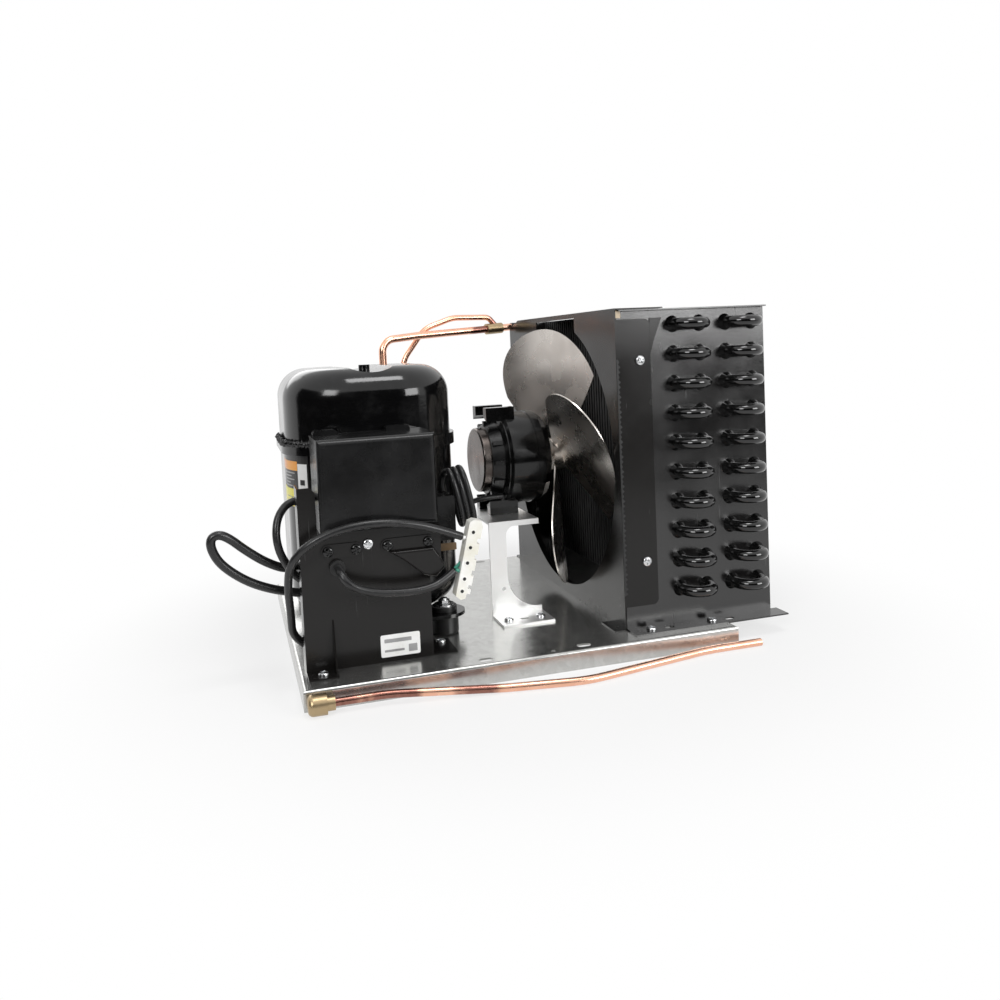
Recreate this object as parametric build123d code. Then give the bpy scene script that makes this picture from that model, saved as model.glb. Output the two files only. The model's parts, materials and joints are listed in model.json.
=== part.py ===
"""Air-cooled refrigeration condensing unit on a galvanised base pan.

Build axes: X to the right along the front edge of the pan, Y to the back, Z up, with the pan's front left
bottom corner at zero. The finished pieces are moved so that the origin is the bottom centre of the unit.
"""

import os
from math import cos, pi, radians, sin, tan

from build123d import *

# ---------------------------------------------------------------- driving dimensions (mm)
CLEARANCE = 0.3
RUNNING_FIT = 0.05

# base pan
BASE_LENGTH = 366.0
BASE_DEPTH = 324.0
BASE_HEIGHT = 16.0
BASE_SHEET = 1.5
BASE_BEND = 2.5
BASE_SLOT_SPACING = 84.0
BASE_SLOT_X = 144.0
BASE_SLOT_INSET = 10.0
BASE_SLOT_WIDTH = 7.0
BASE_SLOT_LENGTH = 12.0
PAN_HOLE_RADIUS = 2.0
PAN_HOLES = [(121.0, 9.0), (200.0, 7.0), (186.0, 41.0), (137.0, 57.0)]

# condenser coil and its end plates
TUBE_OD = 9.5
TUBE_PITCH = 25.4
TUBE_ROWS = 10
TUBE_COLUMNS = 4
FIRST_COLUMN_X = 328.0
LOWEST_ROW_Z = 47.0
COIL_FRONT_Y = 28.0
COIL_REAR_Y = 304.0
PLATE_SHEET = 1.2
PLATE_LEFT_X = 276.0
PLATE_TOP_Z = 289.0
PLATE_FOOT_DEPTH = 18.0
PLATE_FOOT_FLARE = 6.0
PLATE_LIP_DEPTH = 5.0
FIN_PITCH = 6.0
FIN_GAP = 2.4
FIN_GROOVE_DEPTH = 4.0
CUP_RADIUS = 7.2
CUP_DEPTH = 6.0

# fan shroud
SHROUD_X = 274.0
SHROUD_SHEET = 1.0
SHROUD_TOP_Z = 290.5
SHROUD_FLANGE = 32.0
SHROUD_FLANGE_BOTTOM_Z = 36.0
SHROUD_FLANGE_TOP_Z = 281.0
FAN_OPENING_RADIUS = 129.0
OPENING_LIP = 5.0
OPENING_NOTCH_WIDTH = 102.0
OPENING_NOTCH_TOP = 4.5
SHROUD_CORNER_LENGTH = 29.0
SHROUD_CORNER_HEIGHT = 9.0

# fan and motor, on one axis along X
FAN_AXIS_Z = 154.5
FAN_RADIUS = 125.0
FAN_PLANE_X = 269.5
BLADE_COUNT = 4
BLADE_SHEET = 1.2
BLADE_LEADING_CHORD = 68.0
BLADE_LEADING_SWELL = 68.5
BLADE_LEADING_DROP = 28.0
BLADE_TRAILING_CHORD = 56.0
BLADE_TRAILING_SWELL = 62.5
BLADE_TRAILING_DROP = 7.0
BLADE_PITCH_ANGLE = 24.5
BLADE_CAMBER_RADIUS = 320.0
BLADE_TURN = -8.4
BOSS_RADIUS = 16.0
BOSS_LENGTH = 13.0
HUB_RADIUS = 9.0
HUB_LENGTH = 6.0
SHAFT_RADIUS = 3.0
MOTOR_RADIUS = 45.0
MOTOR_WALL = 2.5
MOTOR_CAP_RADIUS = 31.0
MOTOR_CAP_X = 187.0
MOTOR_RING_X = 195.0
MOTOR_REAR_X = 206.0
STATOR_X = 226.0
STATOR_LENGTH = 11.0
MOTOR_FRONT_X = 254.0
ROTOR_RADIUS = 22.0
PAD_LENGTH = 28.0
PAD_WIDTH = 9.0
PAD_SPACING = 36.0
PAD_HEIGHT = 6.0

# motor bracket
BRACKET_SHEET = 2.0
BRACKET_X = 181.0
BRACKET_WIDTH = 48.0
BRACKET_WAIST = 16.0
BRACKET_Y = 110.0
BRACKET_FOOT = 33.0
BRACKET_CORNER = 30.0
BRACKET_TOP_CORNER = 8.0

# hermetic compressor
SHELL_X = 80.0
SHELL_Y = 172.0
SHELL_WIDTH = 148.0
SHELL_LENGTH = 180.0
SHELL_CORNER = 56.0
SHELL_BOTTOM_Z = 36.0
SHELL_SEAM_Z = 184.0
SHELL_TOP_Z = 251.0
SHELL_SHOULDER = 26.0
VALLEY_RADIUS = 45.0
VALLEY_DEPTH = 4.5
SEAM_LIP = 3.5
SEAM_LIP_HEIGHT = 5.0
FOOT_INSET_X = 23.2
FOOT_INSET_Y = 7.5
FOOT_PLATE_SHEET = 3.0
FOOT_PLATE_WIDTH = 36.0
GROMMET_RADIUS = 12.0
GROMMET_NECK_RADIUS = 9.0
SLEEVE_RADIUS = 5.0
STUD_RADIUS = 3.0

# terminal cover and shield
COVER_X = 22.0
COVER_WIDTH = 94.0
COVER_FRONT_Y = 27.0
COVER_BOTTOM_Z = 125.0
COVER_HEIGHT = 73.0
COVER_WALL = 2.2
SHIELD_SHEET = 1.2
SHIELD_X = 6.0
SHIELD_Y = 36.0
SHIELD_WIDTH = 102.0
SHIELD_STRIP_WIDTH = 14.0
SHIELD_STRIP_TOP_Z = 161.0
SHIELD_EAR_WIDTH = 10.0
SHIELD_LEFT_RETURN = 24.0
SHIELD_RIGHT_RETURN = 34.0
SHIELD_TAB_WIDTH = 23.0
SHIELD_TAB_DEPTH = 19.0
SHIELD_SIDE_FOOT = 20.0
CLAMP_SHEET = 1.2
POUCH_DEPTH = 6.0
CLAMP_HEIGHT = 11.0
CLAMP_Z = 110.0
RELAY_WIDTH = 20.7
RELAY_FRONT_Y = 58.0
RELAY_BOTTOM_Z = 104.0
RELAY_HEIGHT = 37.0
GLAND_X = 34.0
GLAND_Z = 97.0
GLAND_RADIUS = 6.0

# screws, all of one thread size
SCREW_SHANK = 2.0
SCREW_HEAD = 4.2
SCREW_HEAD_HEIGHT = 2.6
SCREW_LENGTH = 7.0
SCREW_HOLE = SCREW_SHANK + CLEARANCE

# copper tubes
DISCHARGE_RADIUS = 4.0
THIN_TUBE_RADIUS = 3.175
FRONT_TUBE_RADIUS = 3.175
STUB_RADIUS = 4.75
VALVE_RADIUS = 8.0
VALVE_END_X = 22.0
VALVE_Y = -(VALVE_RADIUS + CLEARANCE)

# flexible cords
CORD_RADIUS = 3.2
LOOP_CORD_RADIUS = 3.6
LEAD_RADIUS = 2.5
WIRE_RADIUS = 1.4

# ---------------------------------------------------------------- derived places
COIL_PITCH_SPAN = TUBE_PITCH * (TUBE_COLUMNS - 1)
COIL_LEFT_X = FIRST_COLUMN_X - TUBE_PITCH / 2
COIL_RIGHT_X = FIRST_COLUMN_X + COIL_PITCH_SPAN + TUBE_PITCH / 2
COIL_BOTTOM_Z = LOWEST_ROW_Z - TUBE_PITCH / 2
COIL_TOP_Z = LOWEST_ROW_Z + TUBE_PITCH * (TUBE_ROWS - 0.5)
FAN_AXIS_Y = (COIL_FRONT_Y + COIL_REAR_Y) / 2
SHELL_REAR_Y = SHELL_Y + SHELL_LENGTH / 2
SHELL_FRONT_Y = SHELL_Y - SHELL_LENGTH / 2
FOOT_SPACING_X = SHELL_WIDTH - 2 * FOOT_INSET_X
FOOT_SPACING_Y = SHELL_LENGTH - 2 * FOOT_INSET_Y
RELAY_LEFT_X = COVER_X + COVER_WIDTH + CLEARANCE
RELAY_RIGHT_X = RELAY_LEFT_X + RELAY_WIDTH
RELAY_TOP_Z = RELAY_BOTTOM_Z + RELAY_HEIGHT
SHELF_TOP_Z = FAN_AXIS_Z - MOTOR_RADIUS - PAD_HEIGHT
STATOR_END_X = STATOR_X + STATOR_LENGTH
FOOT_POINTS = [
    (SHELL_X + side_x * FOOT_SPACING_X / 2, SHELL_Y + side_y * FOOT_SPACING_Y / 2)
    for side_y in (-1, 1)
    for side_x in (-1, 1)
]
BASE_SLOT_POINTS = [
    (BASE_SLOT_X + step, y)
    for y in (BASE_SLOT_INSET, BASE_DEPTH - BASE_SLOT_INSET)
    for step in (0, BASE_SLOT_SPACING)
]
COIL_FOOT_SCREWS = [
    (x, y)
    for y in (COIL_FRONT_Y - PLATE_FOOT_DEPTH / 2, COIL_REAR_Y + PLATE_FOOT_DEPTH / 2)
    for x in (PLATE_LEFT_X + 18, BASE_LENGTH - 14)
]
BRACKET_SCREWS = [
    (BRACKET_X + inset, BRACKET_Y - BRACKET_FOOT * 0.6) for inset in (9, BRACKET_WIDTH - 9)
]
PAD_CENTRES_Y = [FAN_AXIS_Y - PAD_SPACING / 2, FAN_AXIS_Y + PAD_SPACING / 2]
PAD_X = (BRACKET_X + BRACKET_WIDTH - PAD_LENGTH) - 8
SHROUD_SCREWS_Z = [74.0, 246.0]
SHROUD_SCREW_X = SHROUD_X + 22
SHIELD_TAB_SCREW = (SHIELD_X + 12, SHIELD_Y - SHIELD_TAB_DEPTH * 0.55)
SHIELD_SIDE_SCREW = (SHIELD_X + SHIELD_WIDTH + SHIELD_SIDE_FOOT * 0.6, SHIELD_Y + 26)
SHIELD_TOP_Z = COVER_BOTTOM_Z - 1
GROUND_SCREW = (59.0, 113.0)
CLAMPS = {"left": (22.0, 33.0), "right": (69.0, 44.0)}


# ---------------------------------------------------------------- small shape helpers
def slab(x0, x1, y0, y1, z0, z1):
    """Box between two corners."""
    return Pos(x0, y0, z0) * Box(x1 - x0, y1 - y0, z1 - z0, align=(Align.MIN,) * 3)


def rod_x(radius, x0, x1, y, z):
    return Pos(x0, y, z) * Rot(0, 90, 0) * Cylinder(radius, x1 - x0, align=(Align.CENTER, Align.CENTER, Align.MIN))


def rod_y(radius, y0, y1, x, z):
    return Pos(x, y0, z) * Rot(-90, 0, 0) * Cylinder(radius, y1 - y0, align=(Align.CENTER, Align.CENTER, Align.MIN))


def rod_z(radius, z0, z1, x, y):
    return Pos(x, y, z0) * Cylinder(radius, z1 - z0, align=(Align.CENTER, Align.CENTER, Align.MIN))


def axis_profile(points):
    """Solid of revolution about the fan axis from (distance along X, radius) points."""
    outline = make_face(Polyline(*[(x, radius) for x, radius in points], close=True))
    turned = revolve(outline, Axis.X)
    return Pos(0, FAN_AXIS_Y, FAN_AXIS_Z) * turned


def slot_z(x, y, length, width, z0, z1, angle=0):
    """Oval slot cutter standing along Z."""
    return Pos(x, y, z0) * Rot(0, 0, angle) * extrude(SlotOverall(length, width), z1 - z0)


def screw(outward, seat):
    """Pan-head screw whose head's underside centre is at seat and whose head points along outward."""
    head = Cylinder(SCREW_HEAD, SCREW_HEAD_HEIGHT, align=(Align.CENTER, Align.CENTER, Align.MIN))
    head = fillet(head.edges().group_by(Axis.Z)[-1], SCREW_HEAD_HEIGHT * 0.6)
    shank = Pos(0, 0, -SCREW_LENGTH) * Cylinder(
        SCREW_SHANK, SCREW_LENGTH, align=(Align.CENTER, Align.CENTER, Align.MIN)
    )
    return Plane(origin=seat, z_dir=outward).location * (head + shank)


def bend_radii(points):
    """Largest tangent arc that the runs beside each corner of a route allow."""
    radii = []
    for before, corner, after in zip(points, points[1:], points[2:]):
        run_in = Vector(*corner) - Vector(*before)
        run_out = Vector(*after) - Vector(*corner)
        turn = radians(run_in.get_angle(run_out))
        radii.append(0.45 * min(run_in.length, run_out.length) / tan(turn / 2))
    return radii


def round_tube(points, radius, radii, bore=0.0):
    """Round tube or rod along straight runs joined by tangent arcs."""
    path = FilletPolyline(*points, radius=radii)
    start = Plane(origin=path @ 0, z_dir=path % 0)
    section = Circle(radius) if bore == 0 else Circle(radius) - Circle(bore)
    return sweep(start * section, path)


def cord(points, radius):
    """Round flexible cord with the gentlest bends that its route allows."""
    radii = bend_radii(points)
    tube = round_tube(points, radius, radii)
    length = tube.volume / (pi * radius**2)
    print("cord radii", [round(value, 1) for value in radii], "length", round(length, 1))
    return tube


# ---------------------------------------------------------------- base pan
def base_pan():
    outer = slab(0, BASE_LENGTH, 0, BASE_DEPTH, 0, BASE_HEIGHT)
    outer = fillet(outer.edges().group_by(Axis.Z)[-1], BASE_BEND)
    pan = outer - slab(
        BASE_SHEET, BASE_LENGTH - BASE_SHEET, BASE_SHEET, BASE_DEPTH - BASE_SHEET, -1, BASE_HEIGHT - BASE_SHEET
    )
    low, high = BASE_HEIGHT - BASE_SHEET - 1, BASE_HEIGHT + 1
    for x, y in BASE_SLOT_POINTS:
        pan -= slot_z(x, y, BASE_SLOT_LENGTH, BASE_SLOT_WIDTH, low, high)
    for x, y in FOOT_POINTS:
        pan -= rod_z(STUD_RADIUS + CLEARANCE, low, high, x, y)
    for x, y in PAN_HOLES:
        pan -= rod_z(PAN_HOLE_RADIUS, low, high, x, y)
    screws = COIL_FOOT_SCREWS + BRACKET_SCREWS + [SHIELD_TAB_SCREW, SHIELD_SIDE_SCREW]
    for x, y in screws:
        pan -= rod_z(SCREW_HOLE, low, high, x, y)
    return pan


# ---------------------------------------------------------------- condenser
def tube_x(column):
    return FIRST_COLUMN_X + TUBE_PITCH * column


def tube_z(row):
    return LOWEST_ROW_Z + TUBE_PITCH * row


def end_plate(front):
    """Sheet end plate: foot turned outward at the bottom, stiffening lip turned outward at the top."""
    face_y = COIL_FRONT_Y if front else COIL_REAR_Y
    inward = 1 if front else -1
    inner = face_y + inward * PLATE_SHEET
    foot = face_y - inward * PLATE_FOOT_DEPTH
    lip = face_y - inward * PLATE_LIP_DEPTH
    foot_top = BASE_HEIGHT + PLATE_SHEET
    lip_bottom = PLATE_TOP_Z - PLATE_SHEET
    profile = make_face(
        Polyline(
            (inner, BASE_HEIGHT),
            (foot, BASE_HEIGHT),
            (foot, foot_top),
            (face_y, foot_top),
            (face_y, lip_bottom),
            (lip, lip_bottom),
            (lip, PLATE_TOP_Z),
            (inner, PLATE_TOP_Z),
            close=True,
        )
    )
    standing = Plane(origin=(PLATE_LEFT_X, 0, 0), x_dir=(0, 1, 0), z_dir=(1, 0, 0)) * profile
    plate = extrude(standing, COIL_RIGHT_X - PLATE_LEFT_X)
    low_y, high_y = sorted((foot, face_y))
    plate += slab(COIL_RIGHT_X, COIL_RIGHT_X + PLATE_FOOT_FLARE, low_y, high_y, BASE_HEIGHT, foot_top)
    cut0, cut1 = sorted((face_y - inward, inner + inward))
    holes = [
        rod_y(TUBE_OD / 2 + CLEARANCE, cut0, cut1, tube_x(column), tube_z(row))
        for column in range(TUBE_COLUMNS)
        for row in range(TUBE_ROWS)
    ]
    holes += [rod_y(SCREW_HOLE, cut0, cut1, SHROUD_SCREW_X, z) for z in SHROUD_SCREWS_Z]
    for x, y in COIL_FOOT_SCREWS:
        if low_y < y < high_y:
            holes.append(rod_z(SCREW_HOLE, BASE_HEIGHT - 1, foot_top + 1, x, y))
            holes.append(slot_z(x + 17, y, 9, 5, BASE_HEIGHT - 1, foot_top + 1))
    return plate - holes


def fin_pack():
    """Finned block; the tubes' inner runs are part of it, and the fins show as grooves on both air faces."""
    front = COIL_FRONT_Y + PLATE_SHEET + 1.5
    rear = COIL_REAR_Y - PLATE_SHEET - 1.5
    block = slab(COIL_LEFT_X, COIL_RIGHT_X, front, rear, COIL_BOTTOM_Z, COIL_TOP_Z)
    count = int((rear - front - FIN_GAP) / FIN_PITCH)
    margin = ((rear - front) - (count - 1) * FIN_PITCH) / 2
    grooves = []
    for index in range(count):
        y = front + margin + index * FIN_PITCH
        for x in (COIL_LEFT_X, COIL_RIGHT_X):
            grooves.append(
                slab(
                    x - FIN_GROOVE_DEPTH,
                    x + FIN_GROOVE_DEPTH,
                    y - FIN_GAP / 2,
                    y + FIN_GAP / 2,
                    COIL_BOTTOM_Z - 1,
                    COIL_TOP_Z + 1,
                )
            )
    return block - grooves


def return_bend(x0, z0, x1, z1, front):
    """U-bend between two tube ends, with a belled cup on each leg where it meets the end plate."""
    face = COIL_FRONT_Y if front else COIL_REAR_Y
    outward = -1 if front else 1
    leg_end = face + outward * CUP_DEPTH
    inner = face - outward * (PLATE_SHEET + 1.5)
    span = Vector(x1 - x0, 0, z1 - z0)
    radius = span.length / 2
    middle = (Vector(x0, leg_end, z0) + Vector(x1, leg_end, z1)) / 2
    crown = middle + Vector(0, outward * radius, 0)
    path = ThreePointArc((x0, leg_end, z0), crown, (x1, leg_end, z1))
    section = Plane(origin=(x0, leg_end, z0), z_dir=(0, outward, 0)) * Circle(TUBE_OD / 2)
    bend = sweep(section, path)
    for x, z in ((x0, z0), (x1, z1)):
        low, high = sorted((inner, leg_end))
        bend += rod_y(TUBE_OD / 2, low, high, x, z)
        cup = Pos(x, face, z) * Rot(90 if front else -90, 0, 0) * Cone(
            CUP_RADIUS, TUBE_OD / 2 + 0.1, CUP_DEPTH - 1, align=(Align.CENTER, Align.CENTER, Align.MIN)
        )
        bend += cup
    return bend


def front_return_bends():
    return [
        return_bend(tube_x(column), tube_z(row), tube_x(column + 1), tube_z(row), True)
        for row in range(TUBE_ROWS)
        for column in range(0, TUBE_COLUMNS, 2)
    ]


def rear_return_bends():
    """Middle columns joined row by row, outer columns joined alternately up the coil: one serpentine."""
    bends = [
        return_bend(tube_x(1), tube_z(row), tube_x(2), tube_z(row), False) for row in range(TUBE_ROWS)
    ]
    for row in range(TUBE_ROWS - 1):
        column = TUBE_COLUMNS - 1 if row % 2 == 0 else 0
        bends.append(return_bend(tube_x(column), tube_z(row), tube_x(column), tube_z(row + 1), False))
    return bends


def coil_foot_screws():
    seat = BASE_HEIGHT + PLATE_SHEET
    return [screw((0, 0, 1), (x, y, seat)) for x, y in COIL_FOOT_SCREWS]


# ---------------------------------------------------------------- shroud
def shroud():
    front = COIL_FRONT_Y - SHROUD_SHEET
    rear = COIL_REAR_Y + SHROUD_SHEET
    inner_x = SHROUD_X + SHROUD_SHEET
    side = slab(SHROUD_X, inner_x, front, rear, BASE_HEIGHT, SHROUD_TOP_Z)
    top = slab(SHROUD_X, COIL_LEFT_X + 4, COIL_FRONT_Y, COIL_REAR_Y, SHROUD_TOP_Z - SHROUD_SHEET, SHROUD_TOP_Z)
    flanges = []
    for y0, y1 in ((front, COIL_FRONT_Y), (COIL_REAR_Y, rear)):
        flange = slab(SHROUD_X, SHROUD_X + SHROUD_FLANGE, y0, y1, SHROUD_FLANGE_BOTTOM_Z, SHROUD_FLANGE_TOP_Z)
        corners = flange.edges().filter_by(Axis.Y).group_by(Axis.X)[-1]
        flanges.append(fillet(corners, 5))
    lip = axis_profile(
        [
            (inner_x, FAN_OPENING_RADIUS),
            (inner_x + OPENING_LIP, FAN_OPENING_RADIUS),
            (inner_x + OPENING_LIP, FAN_OPENING_RADIUS + SHROUD_SHEET),
            (inner_x, FAN_OPENING_RADIUS + SHROUD_SHEET),
        ]
    )
    foot = slab(SHROUD_X - 10, SHROUD_X, front, front + 28, BASE_HEIGHT, BASE_HEIGHT + SHROUD_SHEET)
    body = side + top + flanges + lip + foot
    opening = rod_x(FAN_OPENING_RADIUS, SHROUD_X - 1, inner_x + OPENING_LIP + 1, FAN_AXIS_Y, FAN_AXIS_Z)
    opening += slab(
        SHROUD_X - 1,
        inner_x + OPENING_LIP + 1,
        FAN_AXIS_Y - OPENING_NOTCH_WIDTH / 2,
        FAN_AXIS_Y + OPENING_NOTCH_WIDTH / 2,
        FAN_AXIS_Z + FAN_OPENING_RADIUS * 0.7,
        SHROUD_TOP_Z - OPENING_NOTCH_TOP,
    )
    corner_profile = Polyline(
        (rear - SHROUD_CORNER_LENGTH, SHROUD_TOP_Z),
        (rear, SHROUD_TOP_Z - SHROUD_CORNER_HEIGHT),
        (rear + 1, SHROUD_TOP_Z - SHROUD_CORNER_HEIGHT),
        (rear + 1, SHROUD_TOP_Z + 1),
        (rear - SHROUD_CORNER_LENGTH, SHROUD_TOP_Z + 1),
        close=True,
    )
    corner_plane = Plane(origin=(SHROUD_X - 1, 0, 0), x_dir=(0, 1, 0), z_dir=(1, 0, 0))
    corner = extrude(corner_plane * make_face(corner_profile), SHROUD_FLANGE + 20)
    screws = [
        rod_y(SCREW_HOLE, y - 2, y + 2, SHROUD_SCREW_X, z) for y in (front, rear) for z in SHROUD_SCREWS_Z
    ]
    return body - opening - corner - screws


def shroud_screws():
    front = COIL_FRONT_Y - SHROUD_SHEET
    rear = COIL_REAR_Y + SHROUD_SHEET
    screws = [screw((0, -1, 0), (SHROUD_SCREW_X, front, z)) for z in SHROUD_SCREWS_Z]
    screws += [screw((0, 1, 0), (SHROUD_SCREW_X, rear, z)) for z in SHROUD_SCREWS_Z]
    return screws


# ---------------------------------------------------------------- fan
def fan_blades():
    """One-piece fan: four cambered paddle blades, set at a pitch in a round centre boss."""
    root = BOSS_RADIUS - 4
    neck = 14.0
    sides = (
        (1, BLADE_LEADING_CHORD, BLADE_LEADING_SWELL, BLADE_LEADING_DROP),
        (-1, BLADE_TRAILING_CHORD, BLADE_TRAILING_SWELL, BLADE_TRAILING_DROP),
    )
    shoulders = [(FAN_RADIUS - drop, side * chord * 0.72) for side, chord, swell, drop in sides]
    flanks = [(swell, side * chord) for side, chord, swell, drop in sides]
    waists = [(swell - 22, side * chord * 0.72) for side, chord, swell, drop in sides]
    tip_round = Spline(flanks[0], shoulders[0], (FAN_RADIUS, 0), shoulders[1], flanks[1])
    trailing = Spline(flanks[1], waists[1], (root, -neck))
    stem = Line((root, -neck), (root, neck))
    leading = Spline((root, neck), waists[0], flanks[0])
    outline = make_face([tip_round, trailing, stem, leading])
    prism = extrude(outline, 60, both=True)
    arc_ring = Circle(BLADE_CAMBER_RADIUS + BLADE_SHEET / 2) - Circle(BLADE_CAMBER_RADIUS - BLADE_SHEET / 2)
    ring = extrude(Plane.YZ * Pos(0, -BLADE_CAMBER_RADIUS) * arc_ring, FAN_RADIUS + 10)
    blade = ring & prism
    reach = BLADE_LEADING_CHORD + 5
    blade = blade & slab(0, FAN_RADIUS + 10, -reach, reach, -40, 20)
    blade = Rot(BLADE_PITCH_ANGLE, 0, 0) * blade
    # The blade is drawn pointing along X with its thickness along Z; stand it up and face it along the axis.
    upright = Plane(origin=(0, 0, 0), x_dir=(0, 0, 1), z_dir=(1, 0, 0)).location * blade
    wheel = rod_x(BOSS_RADIUS, -BOSS_LENGTH / 2, BOSS_LENGTH / 2, 0, 0)
    for index in range(BLADE_COUNT):
        wheel += Rot(360 / BLADE_COUNT * index + BLADE_TURN, 0, 0) * upright
    wheel -= rod_x(SHAFT_RADIUS, -BOSS_LENGTH, BOSS_LENGTH, 0, 0)
    return Pos(FAN_PLANE_X, FAN_AXIS_Y, FAN_AXIS_Z) * wheel


def fan_hub():
    """Steel retaining collar on the shaft in front of the boss."""
    back = FAN_PLANE_X + BOSS_LENGTH / 2
    hub = rod_x(HUB_RADIUS, back, back + HUB_LENGTH, FAN_AXIS_Y, FAN_AXIS_Z)
    hub = fillet(hub.edges().group_by(Axis.X)[-1], 1.5)
    return hub - rod_x(SHAFT_RADIUS, back - 1, back + HUB_LENGTH + 1, FAN_AXIS_Y, FAN_AXIS_Z)


# ---------------------------------------------------------------- fan motor
def motor_end_cap():
    """Drawn steel cup over the rear bearing."""
    cap = rod_x(MOTOR_CAP_RADIUS, MOTOR_CAP_X, MOTOR_RING_X, FAN_AXIS_Y, FAN_AXIS_Z)
    cap = fillet(cap.edges().group_by(Axis.X)[0], 2)
    return cap - rod_x(MOTOR_CAP_RADIUS - 1.5, MOTOR_CAP_X + 1.5, MOTOR_RING_X + 1, FAN_AXIS_Y, FAN_AXIS_Z)


def motor_rear_ring():
    """Ribbed plastic ring between the steel cup and the rear housing."""
    outer = MOTOR_CAP_RADIUS + 2
    ring = axis_profile(
        [
            (MOTOR_RING_X, MOTOR_CAP_RADIUS - 6),
            (MOTOR_RING_X, outer),
            (MOTOR_REAR_X, outer + 3),
            (MOTOR_REAR_X, MOTOR_CAP_RADIUS - 6),
        ]
    )
    for index in range(12):
        rib = slab(MOTOR_RING_X + 1, MOTOR_REAR_X, -2, 2, outer - 2, outer + 4)
        ring += Pos(0, FAN_AXIS_Y, FAN_AXIS_Z) * Rot(30 * index, 0, 0) * rib
    return ring


def motor_rear_housing():
    """Rear half of the motor, with mounting pads above and below."""
    inner = MOTOR_RADIUS - MOTOR_WALL
    shell = axis_profile(
        [
            (MOTOR_REAR_X, SHAFT_RADIUS + 5),
            (MOTOR_REAR_X, MOTOR_RADIUS - 6),
            (MOTOR_REAR_X + 6, MOTOR_RADIUS),
            (STATOR_X, MOTOR_RADIUS),
            (STATOR_X, inner),
            (MOTOR_REAR_X + MOTOR_WALL, inner),
            (MOTOR_REAR_X + MOTOR_WALL, SHAFT_RADIUS + 5),
        ]
    )
    pads = []
    for y in PAD_CENTRES_Y:
        for sign in (-1, 1):
            reach = FAN_AXIS_Z + sign * (MOTOR_RADIUS + PAD_HEIGHT)
            root = FAN_AXIS_Z + sign * (MOTOR_RADIUS - 10)
            low, high = sorted((reach, root))
            pads.append(slab(PAD_X, PAD_X + PAD_LENGTH, y - PAD_WIDTH / 2, y + PAD_WIDTH / 2, low, high))
    pads = [pad - rod_x(MOTOR_RADIUS - 1, PAD_X - 1, STATOR_X + 40, FAN_AXIS_Y, FAN_AXIS_Z) for pad in pads]
    body = shell
    for pad in pads:
        body += pad
    return body


def motor_stator():
    """Laminated stator ring held between the two housings."""
    return axis_profile(
        [
            (STATOR_X, ROTOR_RADIUS + 0.6),
            (STATOR_X, MOTOR_RADIUS - 0.8),
            (STATOR_END_X, MOTOR_RADIUS - 0.8),
            (STATOR_END_X, ROTOR_RADIUS + 0.6),
        ]
    )


def motor_front_housing():
    """Front half of the motor, drawn in towards the shaft."""
    inner = MOTOR_RADIUS - MOTOR_WALL
    nose = MOTOR_RADIUS - 13
    return axis_profile(
        [
            (STATOR_END_X, inner),
            (STATOR_END_X, MOTOR_RADIUS),
            (MOTOR_FRONT_X - 10, MOTOR_RADIUS),
            (MOTOR_FRONT_X - 4, MOTOR_RADIUS - 4),
            (MOTOR_FRONT_X, nose),
            (MOTOR_FRONT_X, SHAFT_RADIUS + 5),
            (MOTOR_FRONT_X - MOTOR_WALL, SHAFT_RADIUS + 5),
            (MOTOR_FRONT_X - MOTOR_WALL, nose - 1),
            (MOTOR_FRONT_X - 10, inner),
        ]
    )


def bearing(x0, x1):
    outer = rod_x(SHAFT_RADIUS + 5, x0, x1, FAN_AXIS_Y, FAN_AXIS_Z)
    return outer - rod_x(SHAFT_RADIUS + RUNNING_FIT, x0 - 1, x1 + 1, FAN_AXIS_Y, FAN_AXIS_Z)


def motor_bearings():
    return [
        bearing(MOTOR_REAR_X - 5, MOTOR_REAR_X + MOTOR_WALL + 6),
        bearing(MOTOR_FRONT_X - MOTOR_WALL - 6, MOTOR_FRONT_X + 1),
    ]


def motor_shaft():
    end = FAN_PLANE_X + BOSS_LENGTH / 2 + HUB_LENGTH + 3
    return rod_x(SHAFT_RADIUS, MOTOR_REAR_X - 6, end, FAN_AXIS_Y, FAN_AXIS_Z)


def motor_rotor():
    rotor = rod_x(ROTOR_RADIUS, STATOR_X - 1, STATOR_END_X + 1, FAN_AXIS_Y, FAN_AXIS_Z)
    return rotor - rod_x(SHAFT_RADIUS, STATOR_X - 2, STATOR_END_X + 2, FAN_AXIS_Y, FAN_AXIS_Z)


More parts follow.
